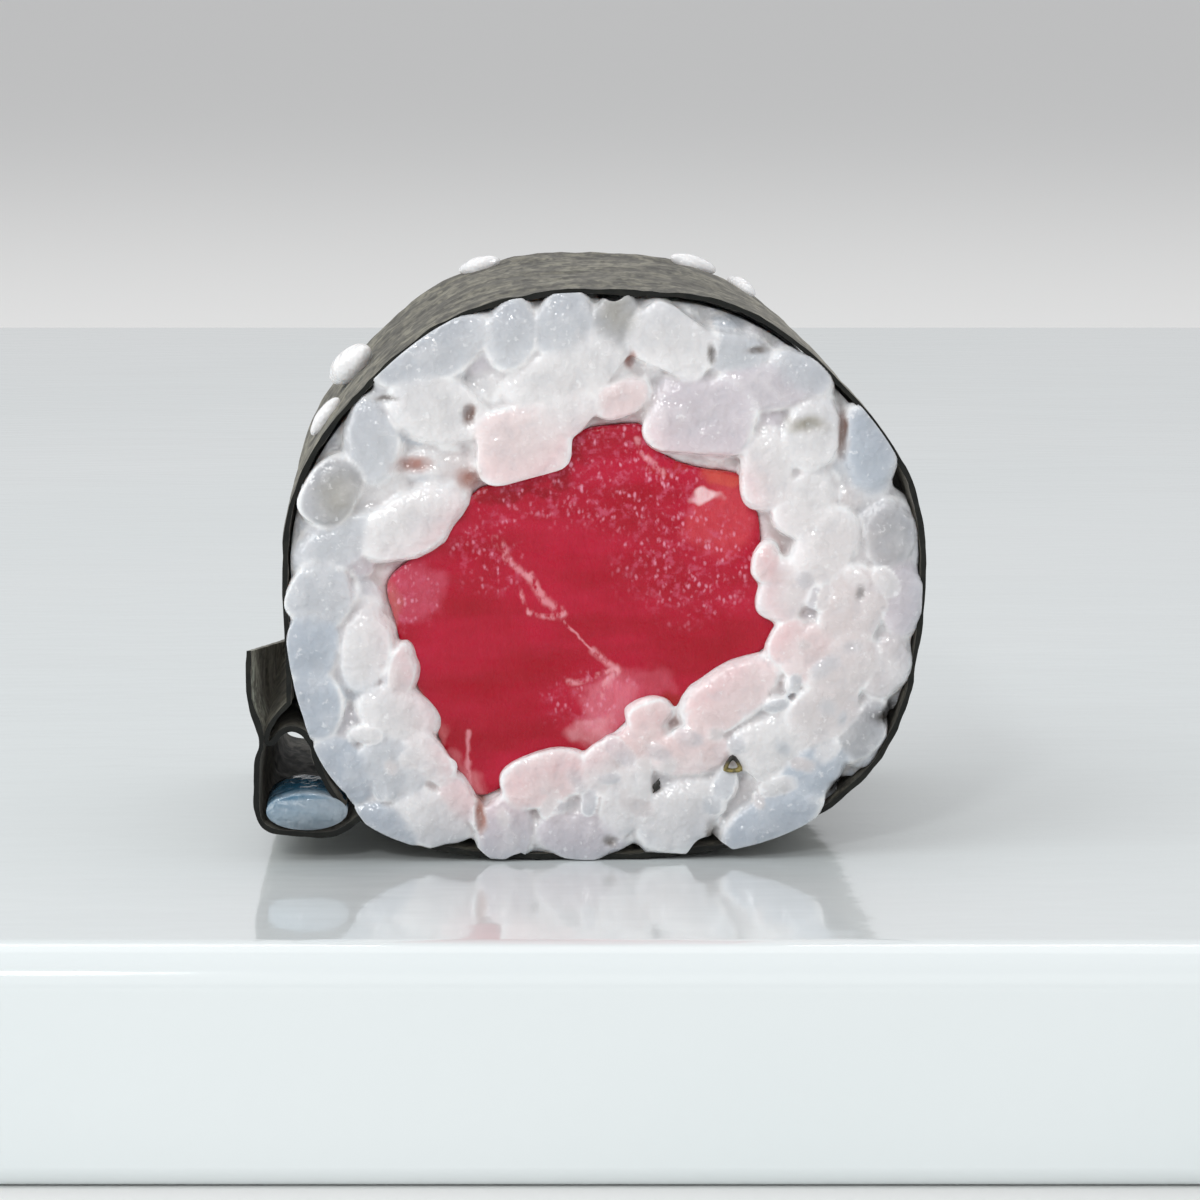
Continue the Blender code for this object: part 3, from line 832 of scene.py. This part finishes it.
def rice_finish(name, whiteness_and_glints):
    """Moist translucent rice in the grains' tints, whiter in clouds and with fine painted glints, both by
    the given share.
    """
    shader = Shader(name, Specular_IOR_Level=0.75)
    shader.paint(Subsurface_Weight=0.55, Subsurface_Scale=1.2 * MM, Subsurface_Radius=(1.0, 0.90, 0.85))
    place = shader.roll_place()
    tint = shader.node("ShaderNodeAttribute", {"attribute_name": GRAIN_TINT_LAYER}, output="Color")
    cloud = shader.noise(place, 650.0)
    veil = shader.noise(place, 1300.0, detail=2.0, roughness=0.6)
    glint_noise = shader.noise(place, 3200.0, detail=2.0, roughness=0.6)
    colour = shader.mix(cloud.between(0.42, 0.75) * 0.6 * whiteness_and_glints, tint, RICE_WHITE)
    colour = shader.mix(veil.between(0.50, 0.34) * 0.16, colour, RICE_VEIL)
    # Painted glints: fine white speckles, as strong as the given share
    colour = shader.mix(glint_noise.between(0.62, 0.74) * whiteness_and_glints * 0.7, colour, RICE_GLINT)
    relief = shader.bump(cloud * 0.6 + veil * 0.5 + glint_noise * 0.15, 0.6, 0.4 * MM)
    return shader.paint(Base_Color=colour, Roughness=0.10 + veil.between(0.35, 0.7) * 0.20, Normal=relief)


def tuna_threads(shader, place, fine, colour):
    """The colour with threads of white tissue in it, frayed at their edges."""
    frayed = shader.warped(place, 1000.0, 0.34 * MM)
    for start, end, width in TUNA_THREADS:
        reach = 1.7 * width * PHOTO_PIXEL
        thread = shader.from_line(frayed, start, end).between(reach, 0.1 * reach)
        colour = shader.mix(thread * fine.between(0.38, 0.58) * 0.7, colour, TUNA_THREAD)
    return colour


def tuna_glints(shader, place, torn, colour):
    """The colour with a painted sheen and fine painted glints in it, here and there."""
    zones = [shader.patch(torn, *oval) * strength for *oval, strength in TUNA_GLINT_ZONES]
    glinting = zones[0]
    for zone in zones[1:]:
        glinting = glinting.maths("MAXIMUM", zone)
    jittered = shader.warped(shader.roll_place((1, 1, 0.6)), 5000.0, 0.08 * MM)
    dots = shader.node("ShaderNodeTexVoronoi", sockets={"Vector": jittered, "Scale": 4700.0})
    some = shader.noise(place, 1700.0).between(0.46, 0.62)
    sheen_noise = shader.noise(place, 2900.0).between(0.50, 0.72)
    # A painted sheen and painted glints where the wet flesh catches the light
    colour = shader.mix(sheen_noise * glinting * 0.60, colour, TUNA_SHEEN)
    return shader.mix(dots.between(0.50, 0.12) * some * glinting * 0.75, colour, TUNA_GLINT)


def tuna_finish():
    """Wet crimson flesh with paler patches, threads, painted shadow along the rice, and a painted sheen and
    glints.
    """
    shader = Shader("raw_tuna", Specular_IOR_Level=0.30)
    shader.paint(Subsurface_Weight=0.20, Subsurface_Scale=1.0 * MM, Subsurface_Radius=(1.0, 0.12, 0.10))
    place = shader.roll_place()
    torn = shader.warped(place, 600.0, 1.1 * MM)
    flesh = shader.noise(shader.roll_place((0.5, 1, 1.5)), 330.0, detail=5.0)
    fine = shader.noise(shader.roll_place((1, 1, 0.6)), 3000.0)
    colour = shader.mix(flesh.between(0.3, 0.7), TUNA_RED, TUNA_LIGHT_RED)
    for *oval, strength, patch_colour in TUNA_PATCHES:
        colour = shader.mix(shader.patch(torn, *oval) * (0.5 + fine) * strength, colour, patch_colour)
    colour = tuna_threads(shader, place, fine, colour)
    colour = tuna_glints(shader, place, torn, colour)
    relief = shader.bump(fine * 0.6 + flesh * 0.4, 0.5, 0.2 * MM)
    return shader.paint(Base_Color=colour, Roughness=0.20 + fine.between(0.4, 0.7) * 0.20, Normal=relief)


def crumb_finish():
    """Black, and olive at the foot of the three-cornered bit."""
    shader = Shader("nori_crumb", Roughness=0.5)
    place = shader.roll_place()
    speckle = shader.noise(place, 4000.0, detail=2.0)
    ring_x, ring_z = face_point(*CRUMB_RING[:2])
    low = shader.axis(place, 2).between(ring_z + 0.25 * MM, ring_z - 0.15 * MM)
    near = shader.axis(place, 0).between(ring_x - 1.5 * MM, ring_x - 1.0 * MM)
    olive = low * near * (speckle.between(0.35, 0.60) * 0.7 + 0.3)
    colour = shader.mix(olive, CRUMB_BLACK, CRUMB_OLIVE)
    return shader.paint(Base_Color=colour, Normal=shader.bump(speckle, 0.4, 0.1 * MM))


def make_plate(material):
    size = PLATE_HIGH - PLATE_LOW
    bpy.ops.mesh.primitive_cube_add(size=1.0, location=(PLATE_LOW + PLATE_HIGH) / 2, scale=size)
    plate = newest("glazed_plate")
    apply_place(plate)

    def upright(edge):
        return abs(edge.verts[0].co.z - edge.verts[1].co.z) > size.z / 2

    def around(height):
        return lambda edge: all(abs(vert.co.z - height) < 0.1 * MM for vert in edge.verts)

    for test, radius, steps in (
        (upright, PLATE_CORNER, 12),
        (around(PLATE_HIGH.z), PLATE_RIM, 12),
        (around(PLATE_LOW.z), PLATE_FOOT, 6),
    ):
        with editing(plate, "EDGE", test):
            bpy.ops.mesh.bevel(offset=radius, segments=steps, profile=0.5)
    shade_smooth(plate)
    apply_modifier(plate, "WEIGHTED_NORMAL", keep_sharp=False)
    dress(plate, material, "glaze", "plate")


def ripple(spot, per_metre, octaves=3):
    """A fractal noise at a place, about -1 to 1, with this many waves to the metre."""
    return noise.fractal(spot * per_metre, 1.0, 2.0, octaves)


def nori_path():
    """The middle line of the sheet, and the number of its points on the loose end."""
    middle = NORI_THICKNESS / 2
    path = smooth_curve([*in_mm(FLAP_PATH_MM), roll_point(NOTCH_DEG, middle)], 6, closed=False)
    loose_points = len(path)
    for turn in np.arange(NOTCH_DEG + TURN_STEP_DEG, LAST_ROUND_DEG, TURN_STEP_DEG):
        path.append(roll_point(turn, middle))
    path += smooth_curve(in_mm(PLEAT_PATH_MM), 5, closed=False)
    return path, loose_points


def make_nori(material):
    """A flat grid wrapped along its path, crinkled, and given a thickness that varies from spot to spot."""
    path, loose_points = nori_path()
    lowest = min(z for x, z in path[:loose_points])
    bpy.ops.mesh.primitive_grid_add(x_subdivisions=len(path) - 1, y_subdivisions=NORI_ROWS, size=1.0)
    nori = newest("nori_sheet")
    thickness = nori.vertex_groups.new(name="thickness")
    for vert in nori.data.vertices:
        column = round((vert.co.x + 0.5) * (len(path) - 1))
        share = vert.co.y + 0.5
        looseness = max(0.0, 1 - column / loose_points)
        x, z = path[column]
        x += FLAP_LEAN * share * looseness
        z -= FLAP_TAPER * share * looseness * (z - lowest)
        spot = Vector((x, share * ROLL_LENGTH, z))
        out = Vector((x, 0, z - ROLL_HALF_HEIGHT)).normalized()
        crinkle = ripple(spot, CRINKLES_PER_M, octaves=4) * CRINKLE
        ragged = noise.noise(spot * RAGS_PER_M) * RAGGEDNESS
        if share < 0.001:
            spot.y += ragged + NORI_FRONT
        elif share > 0.999:
            spot.y += ragged - NORI_FRONT
        vert.co = spot + out * crinkle
        thickness.add([vert.index], 0.5 + 0.7 * noise.noise(spot * THICK_SPOTS_PER_M), "REPLACE")
    uneven = {"vertex_group": "thickness", "thickness_vertex_group": NORI_THINNEST}
    apply_modifier(nori, "SOLIDIFY", thickness=NORI_THICKNESS, offset=0.0, **uneven)
    select_only(nori)
    bpy.ops.object.shade_smooth_by_angle(angle=math.radians(50))
    put_on_plate(nori)
    dress(nori, material, "nori", "nori")


def model_oval(name):
    """A plump grain, 1 long, wide and thick, with a narrower end along z and a slight bend."""
    bpy.ops.mesh.primitive_uv_sphere_add(segments=18, ring_count=12, radius=0.5)
    grain = newest(name)
    resize_where(grain, lambda vert: vert.co.z > 0.15, (0.86, 0.90, 1.0))
    shift_where(grain, lambda vert: abs(vert.co.z) < 0.20, (0.05, 0, 0))
    return grain


def model_block(name):
    """A grain pressed flat between others, 1 long, wide and thick: a skewed block with round edges."""
    bpy.ops.mesh.primitive_cube_add(size=0.94)
    grain = newest(name)
    with editing(grain, "EDGE"):
        bpy.ops.mesh.bevel(offset=0.29, segments=3, profile=0.5)
    resize_where(grain, lambda vert: vert.co.z > 0.2, (0.78, 0.90, 1.0))
    resize_where(grain, lambda vert: vert.co.x > 0.2, (1.0, 0.92, 0.80))
    subdivide(grain)
    return grain


def model_cut(name):
    """A grain cut short at both ends, 1 long, wide and thick, with flat sides and rather sharp corners."""
    bpy.ops.mesh.primitive_cube_add(size=0.88)
    grain = newest(name)
    with editing(grain, "EDGE"):
        bpy.ops.mesh.bevel(offset=0.20, segments=4, profile=0.5)
    resize_where(grain, lambda vert: vert.co.z > 0.15, (0.84, 1.0, 1.0))
    shift_where(grain, lambda vert: vert.co.x < -0.2, (0, 0, 0.06))
    return grain


def make_copy(model):
    return add_object(model.name, model.data.copy())


def join(objects, name):
    bpy.ops.object.select_all(action="DESELECT")
    for obj in objects:
        obj.select_set(True)
    bpy.context.view_layer.objects.active = objects[0]
    bpy.ops.object.join()
    return newest(name)


def rice_outline(behind=0.0):
    """The line round the rice, with a dent wherever a gap shows the nori, moved in by this much more."""
    degrees, insets = zip(*RICE_EDGE)
    outline = []
    for turn in range(360):
        edge = Vector(roll_point(turn))
        inset = float(np.interp(turn, degrees, insets)) * MM + behind
        for px, py, reach, depth in RICE_GAPS:
            away = (edge - Vector(face_point(px, py))).length / (reach * PHOTO_PIXEL)
            inset += depth * MM * max(0.0, 1 - away * away)
        outline.append(roll_point(turn, inset))
    return outline


def tuna_outline(steps):
    return in_mm(smooth_curve(TUNA_CORNERS_MM, steps, closed=True))


def is_inside(x, z, outline):
    """Whether a line to the right from the point crosses the outline an odd number of times."""
    inside = False
    for (x1, z1), (x2, z2) in zip(outline, outline[1:] + outline[:1]):
        if (z1 > z) != (z2 > z) and x < x1 + (z - z1) / (z2 - z1) * (x2 - x1):
            inside = not inside
    return inside


def away_from(outline, x, z):
    """How far points are from the nearest point of an outline."""
    corners = np.array(outline)
    nearest = np.full(np.shape(x), 1.0)
    for corner_x, corner_z in corners:
        nearest = np.minimum(nearest, np.hypot(x - corner_x, z - corner_z))
    return nearest


Grain = namedtuple("Grain", "x depth z length width angle form tint")


def front_grains():
    """The front face's grains, as the photograph shows them."""
    rng = random.Random(FRONT_SEED)
    swell = GRAIN_SWELL * PHOTO_PIXEL
    grains = []
    for px, py, length, width, *rest in FRONT_GRAINS:
        x, z = face_point(px, py)
        grains.append(Grain(x, rng.uniform(*GRAIN_DEPTHS), z, length * swell, width * swell, *rest))
    return grains


def drawn_grains(seed, spacing, depth, tuna_margin, lengths, widths, tints):
    """Grains drawn at random over the ring of rice."""
    rng = random.Random(seed)
    roll = rice_outline()
    tuna = tuna_outline(4)
    grains = []
    for z in np.arange(0.5 * spacing, 2 * ROLL_HALF_HEIGHT, spacing):
        for x in np.arange(0.5 * spacing - ROLL_HALF_WIDTH, ROLL_HALF_WIDTH, spacing):
            spot_x = x + rng.uniform(-0.4, 0.4) * spacing
            spot_z = z + rng.uniform(-0.4, 0.4) * spacing
            length = rng.uniform(*lengths)
            width = rng.uniform(*widths)
            form = rng.choice(("oval", "block"))
            angle = rng.uniform(0, 180)
            grain = Grain(spot_x, depth, spot_z, length, width, angle, form, rng.choice(tints))
            from_roll = away_from(roll, spot_x, spot_z)
            from_tuna = away_from(tuna, spot_x, spot_z)
            in_tuna = is_inside(spot_x, spot_z, tuna) or from_tuna < tuna_margin * width
            if is_inside(spot_x, spot_z, roll) and from_roll > 0.3 * width and not in_tuna:
                grains.append(grain)
    return grains


def place_grain(model, grain, rng):
    """A copy of the model lying in the cut face at the grain's place and angle."""
    copy = make_copy(model)
    turn = Matrix.Rotation(math.radians(90 - grain.angle), 4, "Y")
    tilt = Matrix.Rotation(math.radians(rng.uniform(-GRAIN_TILT_DEG, GRAIN_TILT_DEG)), 4, "X")
    spin = Matrix.Rotation(math.radians(rng.uniform(-GRAIN_SPIN_DEG, GRAIN_SPIN_DEG)), 4, "Z")
    size = Matrix.Diagonal((grain.width, GRAIN_THICKNESS, grain.length, 1.0))
    copy.matrix_world = Matrix.Translation((grain.x, grain.depth, grain.z)) @ turn @ tilt @ size @ spin
    return copy


def keep_inside(points, outline):
    """Pushes points that pass the outline back to it, and a little further behind the sheet's edge."""
    ring_x, ring_z = np.array(outline).T
    ring_up = ring_z - ROLL_HALF_HEIGHT
    ring_angle = np.arctan2(ring_up, ring_x)
    order = np.argsort(ring_angle)
    x, depth, z = points.T
    up = z - ROLL_HALF_HEIGHT
    ring_reach = np.hypot(ring_x, ring_up)
    limit = np.interp(np.arctan2(up, x), ring_angle[order], ring_reach[order], period=math.tau)
    limit -= RICE_BEHIND * np.clip((depth - RICE_LIP) / RICE_LIP_FADE, 0, 1)
    scale = np.minimum(1.0, limit / np.maximum(np.hypot(x, up), 0.001 * MM))
    points[:, 0] = x * scale
    points[:, 2] = ROLL_HALF_HEIGHT + up * scale


def grain_front(grain, points):
    """How deep a grain's own front is at each point, growing on outside the grain, and how far out from its
    middle the point is, with 1 at the grain's outline."""
    turn = math.radians(grain.angle)
    dx = points[:, 0] - grain.x
    dz = points[:, 2] - grain.z
    along = np.abs(dx * math.cos(turn) + dz * math.sin(turn)) / (grain.length / 2)
    across = np.abs(dz * math.cos(turn) - dx * math.sin(turn)) / (grain.width / 2)
    power = GRAIN_ROUNDNESS[grain.form]
    total = along**power + across**power
    dome = np.maximum(0.0, 1 - total) ** (1 / power)
    depth = grain.depth - GRAIN_THICKNESS / 2 * dome + np.maximum(0.0, total - 1) * MM
    return depth, total ** (1 / power)


def store_tint(obj, colour):
    """Stores what the rice's material reads: one tint for the whole piece, or one for each vertex."""
    layer = obj.data.color_attributes.new(GRAIN_TINT_LAYER, "FLOAT_COLOR", "POINT")
    tint = np.ones((len(layer.data), 4), np.float32)
    tint[:, :3] = colour
    layer.data.foreach_set("color", tint.ravel())


def blurred(obj, values, rounds):
    """Each vertex's value, averaged with its neighbours' this many times."""
    starts, ends = read_array(obj.data.edges, "vertices", 2, np.int32).T
    count = len(values)
    neighbours = np.bincount(starts, minlength=count) + np.bincount(ends, minlength=count)
    for _ in range(rounds):
        total = np.bincount(starts, values[ends], count) + np.bincount(ends, values[starts], count)
        values = 0.3 * values + 0.7 * total / neighbours
    return values


def toward(colour, tint, share):
    """Moves colours towards a tint by each point's share."""
    colour += (np.array(tint) - colour) * share[:, None]


def wobbled(points):
    """The points, each shifted a little by a noise, so that what is drawn over them gets ragged borders."""
    noise.seed_set(MARK_SEED)
    shifts = []
    for point in points:
        spot = Vector(point) * MARK_WOBBLES_PER_M
        shifts.append(noise.noise_vector(spot) + noise.noise_vector(spot * 3) * 0.4)
    return points + np.array(shifts) * MARK_WOBBLE


def mark_share(points, px, py, half_width, half_height):
    """1 in the middle of a mark of the front face, given in pixels, and 0 outside it."""
    x, z = face_point(px, py)
    across = (points[:, 0] - x) / (half_width * PHOTO_PIXEL)
    up = (points[:, 2] - z) / (half_height * PHOTO_PIXEL)
    share = np.clip(1 - np.hypot(across, up), 0, 1)
    return share * share * (3 - 2 * share)


def grain_tints(points, grains):
    """The tint of the grains at each point, with painted shade in their middles, and how near the point is
    to a rim.
    """
    weight = np.full(len(points), FAINTEST)
    colour = np.full((len(points), 3), GRAIN_TINTS["clear"]) * FAINTEST
    rim = np.zeros(len(points))
    core = np.zeros(len(points))
    for grain in grains:
        depth, reach = grain_front(grain, points)
        share = np.exp(-depth / GRAIN_BLEND)
        weight += share
        colour += np.array(GRAIN_TINTS[grain.tint]) * share[:, None]
        rim += share * np.exp(-(((reach - GRAIN_RIM) / GRAIN_RIM_WIDTH) ** 2))
        core += share * np.exp(-((reach / GRAIN_CORE) ** 4))
    colour *= ((1 - GRAIN_CORE_SHADE * core / weight) / weight)[:, None]
    return colour, rim / weight


def tint_rice(obj, points, grains, marks, stains):
    """Tints the points like their grains, with a painted highlight along the rims, painted shade in the
    creases, by the nori and in the pits, and pinker by the tuna."""
    colour, rim = grain_tints(points, grains)
    ragged = wobbled(points)
    normals = read_array(obj.data.vertex_normals, "vector", 3)
    steep = np.clip((0.93 - np.abs(normals[:, 1])) / 0.35, 0, 1)
    crease = np.clip((points[:, 1] - blurred(obj, points[:, 1], 14)) / CREASE_DEPTH, 0, 1)
    from_nori = away_from(rice_outline(), points[:, 0], points[:, 2])
    from_tuna = away_from(tuna_outline(6), points[:, 0], points[:, 2])
    # Painted shade near the nori, where the dark sheet shows through the rice
    toward(colour, NORI_SHADE, 0.62 * np.exp(-from_nori / (1.2 * MM)))
    toward(colour, TUNA_STAIN, 0.50 * np.exp(-from_tuna / (0.6 * MM)))
    for *oval, strength, tint in stains:
        toward(colour, tint, strength * mark_share(ragged, *oval))
    # Painted highlight along the grains' rims and on their steep edges
    toward(colour, RIM_HIGHLIGHT, np.clip(0.35 * blurred(obj, steep, 2) + 0.95 * rim, 0, 1))
    # Painted shade in the creases between grains, redder near the tuna
    toward(colour, CREASE_PAINTED_SHADE, 0.62 * crease)
    toward(colour, TUNA_CREASE_PAINTED_SHADE, 0.7 * crease * np.exp(-from_tuna / (1.2 * MM)))
    # Pits and gaps painted dark as their shade, the red and brown ones partly also stained by the tuna
    for *oval, _, strength, tint in marks:
        toward(colour, tint, np.clip(1.5 * strength * mark_share(ragged, *oval), 0, 1))
    store_tint(obj, colour)


def make_rice_cap(name, material, models, shown, fill, marks=(), stains=()):
    """One cut face of the rice: a bed of packed rice with the grains that show pressed into it."""
    rng = random.Random(name)
    outline = rice_outline()
    parts = [prism(name, (outline[::4], tuna_outline(3)), RICE_BED, RICE_CAP)]
    for grain in shown + fill:
        parts.append(place_grain(models[grain.form], grain, rng))
    rice = join(parts, name)
    apply_modifier(rice, "REMESH", mode="VOXEL", voxel_size=RICE_VOXEL)
    apply_modifier(rice, "SMOOTH", factor=0.5, iterations=4)
    points = mesh_points(rice)
    proud = points[:, 1] < 0
    points[proud, 1] *= KNIFE_FLATNESS
    for point in points:
        if point[1] < RICE_CAP - 0.3 * MM:
            point[1] += ripple(Vector(point), RICE_RIPPLES_PER_M) * RICE_RIPPLE
    keep_inside(points, outline)
    for *oval, depth, _, _ in marks:
        points[:, 1] += depth * MM * mark_share(points, *oval) * (points[:, 1] < RICE_BED)
    set_mesh_points(rice, points)
    tint_rice(rice, points, shown + fill, marks, stains)
    shade_smooth(rice)
    dress(rice, material, "rice", "rice")
    return rice, points


def front_scraps():
    """Scraps of broken rice at the right and at the foot of the front face."""
    edge = rice_outline()
    kept = []
    for scrap in drawn_grains(FRONT_SEED + 4, *SCRAPS):
        low = scrap.z < SCRAPS_BELOW
        right = scrap.x > SCRAPS_RIGHT_OF and scrap.z < ROLL_HALF_HEIGHT
        if (low or right) and away_from(edge, scrap.x, scrap.z) > SCRAP_MARGIN:
            kept.append(scrap)
    return kept


def make_rice(material, models):
    shown = front_grains() + front_scraps()
    fill = drawn_grains(FRONT_SEED, *FILL_GRAINS)
    drawn_on = {"marks": RICE_MARKS, "stains": RICE_STAINS}
    front, front_points = make_rice_cap("rice_front", material, models, shown, fill, **drawn_on)
    put_on_plate(front)
    shown = drawn_grains(BACK_SEED, *BACK_GRAINS)
    fill = drawn_grains(BACK_SEED + 1, *FILL_GRAINS)
    back, points = make_rice_cap("rice_back", material, models, shown, fill)
    points[:, 1] = ROLL_LENGTH - points[:, 1]
    set_mesh_points(back, points)
    back.data.flip_normals()
    put_on_plate(back)
    inside = rice_outline(RICE_BEHIND)
    core = prism("rice_core", (inside[::6], tuna_outline(2)), RICE_CAP, ROLL_LENGTH - RICE_CAP)
    store_tint(core, GRAIN_TINTS["clear"])
    put_on_plate(core)
    dress(core, material, "rice", "rice")
    return front_points


def make_stray_grains(material, model):
    """The grains stuck to the outside of the nori, each lying flat on it."""
    grains = []
    for turn, share, spin_deg, size in STUCK_GRAINS:
        x, z = roll_point(turn)
        along_x, along_z = (Vector(roll_point(turn + 1)) - Vector(roll_point(turn - 1))).normalized()
        outwards = Vector((along_z, 0, -along_x))
        spin = math.radians(spin_deg)
        lengthwise = Vector((along_x * math.sin(spin), math.cos(spin), along_z * math.sin(spin)))
        turned = Matrix((outwards.cross(lengthwise), outwards, lengthwise)).transposed().to_4x4()
        lift = size * GRAIN_THICKNESS / 2 - STUCK_GRAIN_SINK
        centre = Matrix.Translation(Vector((x, share * ROLL_LENGTH, z)) + outwards * lift)
        full = Matrix.Diagonal((GRAIN_WIDTH * size, GRAIN_THICKNESS * size, GRAIN_LENGTH * size, 1.0))
        grain = make_copy(model)
        grain.matrix_world = centre @ turned @ full
        grains.append(grain)
    stray = join(grains, "stray_grains")
    apply_place(stray)
    subdivide(stray)
    store_tint(stray, GRAIN_TINTS["white"])
    shade_smooth(stray)
    put_on_plate(stray)
    dress(stray, material, "rice")


def make_fold_grain(material, model):
    """The grain in the fold of the loose end, lying along the roll and cut off at the front, painted in
    shade.
    """
    centre = Vector(FOLD_GRAIN_CENTRE_MM) * MM
    across, up, along = Vector(FOLD_GRAIN_SIZE_MM) * MM
    grain = make_copy(model)
    grain.name = "cut_grain"
    for vert in grain.data.vertices:
        vert.co.z = 0.5 * signed_power(2 * vert.co.z, FOLD_GRAIN_FULLNESS)
    lie_down = Matrix.Rotation(math.radians(90 + FOLD_GRAIN_RISE_DEG), 4, "X")
    grain.matrix_world = Matrix.Translation(centre) @ lie_down @ Matrix.Diagonal((across, up, along, 1.0))
    apply_place(grain)
    subdivide(grain)
    cut = {"plane_co": (0, FOLD_GRAIN_FRONT, 0), "plane_no": (0, 1, 0)}
    with editing(grain, "FACE"):
        bpy.ops.mesh.bisect(**cut, use_fill=True, clear_inner=True)
    edge_limit = FOLD_GRAIN_FRONT + 0.001 * MM
    with editing(grain, "EDGE", lambda edge: all(vert.co.y < edge_limit for vert in edge.verts)):
        bpy.ops.mesh.bevel(offset=FOLD_GRAIN_BEVEL, segments=3)
    points = mesh_points(grain)
    from_middle = 2 * np.hypot((points[:, 0] - centre.x) / across, (points[:, 2] - centre.z) / up)
    rim = np.clip((from_middle - 0.75) / 0.2, 0, 1) * (points[:, 1] < FOLD_GRAIN_RIM_DEPTH)
    colour = np.full((len(points), 3), FOLD_GRAIN_PAINTED_SHADE)
    # A paler painted highlight round the rim of its cut face
    toward(colour, RIM_HIGHLIGHT, 0.35 * rim)
    store_tint(grain, colour)
    shade_smooth(grain)
    put_on_plate(grain)
    dress(grain, material, "cut_grain", "fold_grain")


def on_rice(px, py, rice_points):
    """The place on the cut rice that the photograph shows at a pixel."""
    x, z = face_point(px, py)
    near = np.hypot(rice_points[:, 0] - x, rice_points[:, 2] - z) < CRUMB_REACH
    return Vector((x, rice_points[near, 1].min() - CRUMB_LIFT, z))


def make_crumbs(material, rice_points):
    """Bits of nori that lie on the cut rice."""
    px, py, radius = CRUMB_RING
    stroke = CRUMB_RING_STROKE * PHOTO_PIXEL
    steps = {"major_segments": 3, "minor_segments": 8}
    bpy.ops.mesh.primitive_torus_add(major_radius=radius * PHOTO_PIXEL, minor_radius=stroke, **steps)
    ring = newest("crumbs")
    with editing(ring, "EDGE"):
        bpy.ops.mesh.subdivide(number_cuts=1)
        bpy.ops.mesh.select_all(action="SELECT")
        bpy.ops.transform.vertex_random(offset=0.3 * stroke, seed=2)
    stand_up = Matrix.Rotation(-math.pi / 2, 4, "Y") @ Matrix.Rotation(math.pi / 2, 4, "X")
    ring.matrix_world = Matrix.Translation(on_rice(px, py, rice_points)) @ stand_up
    px, py, radius = CRUMB_DOT
    place = {"location": on_rice(px, py, rice_points), "scale": (1, 0.5, 1)}
    bpy.ops.mesh.primitive_ico_sphere_add(subdivisions=2, radius=radius * PHOTO_PIXEL, **place)
    dot = newest("dot")
    resize_where(dot, lambda vert: vert.co.x > 0, (0.8, 1.0, 0.9))
    crumbs = join([ring, dot], "crumbs")
    apply_place(crumbs)
    subdivide(crumbs)
    shade_smooth(crumbs)
    put_on_plate(crumbs)
    dress(crumbs, material, "nori")


def make_tuna(material):
    tuna = prism("tuna_bar", (tuna_outline(4),), TUNA_RECESS, ROLL_LENGTH - TUNA_RECESS)
    apply_modifier(tuna, "REMESH", mode="VOXEL", voxel_size=TUNA_VOXEL)
    apply_modifier(tuna, "SMOOTH", factor=0.5, iterations=2)
    points = mesh_points(tuna)
    for point in points:
        spot = Vector(point)
        wave = ripple(spot, TUNA_WAVES_PER_M) * TUNA_WAVE
        point[1] += wave + noise.noise(spot * TUNA_FIBRES_PER_M) * TUNA_FIBRE
    set_mesh_points(tuna, points)
    shade_smooth(tuna)
    put_on_plate(tuna)
    dress(tuna, material, "tuna", "tuna")


def main():
    bpy.context.scene.view_settings.view_transform = "Standard"
    make_camera()
    make_studio()
    make_plate(porcelain())
    nori = nori_finish()
    make_nori(nori)
    models = {
        "oval": model_oval("oval_model"),
        "block": model_block("block_model"),
        "cut": model_cut("cut_model"),
    }
    rice = rice_finish("moist_rice", 0.5)
    front_points = make_rice(rice, models)
    make_stray_grains(rice, models["oval"])
    make_fold_grain(rice_finish("shaded_rice", 0.1), models["oval"])
    for model in models.values():
        bpy.data.objects.remove(model)
    make_tuna(tuna_finish())
    make_crumbs(crumb_finish(), front_points)


main()
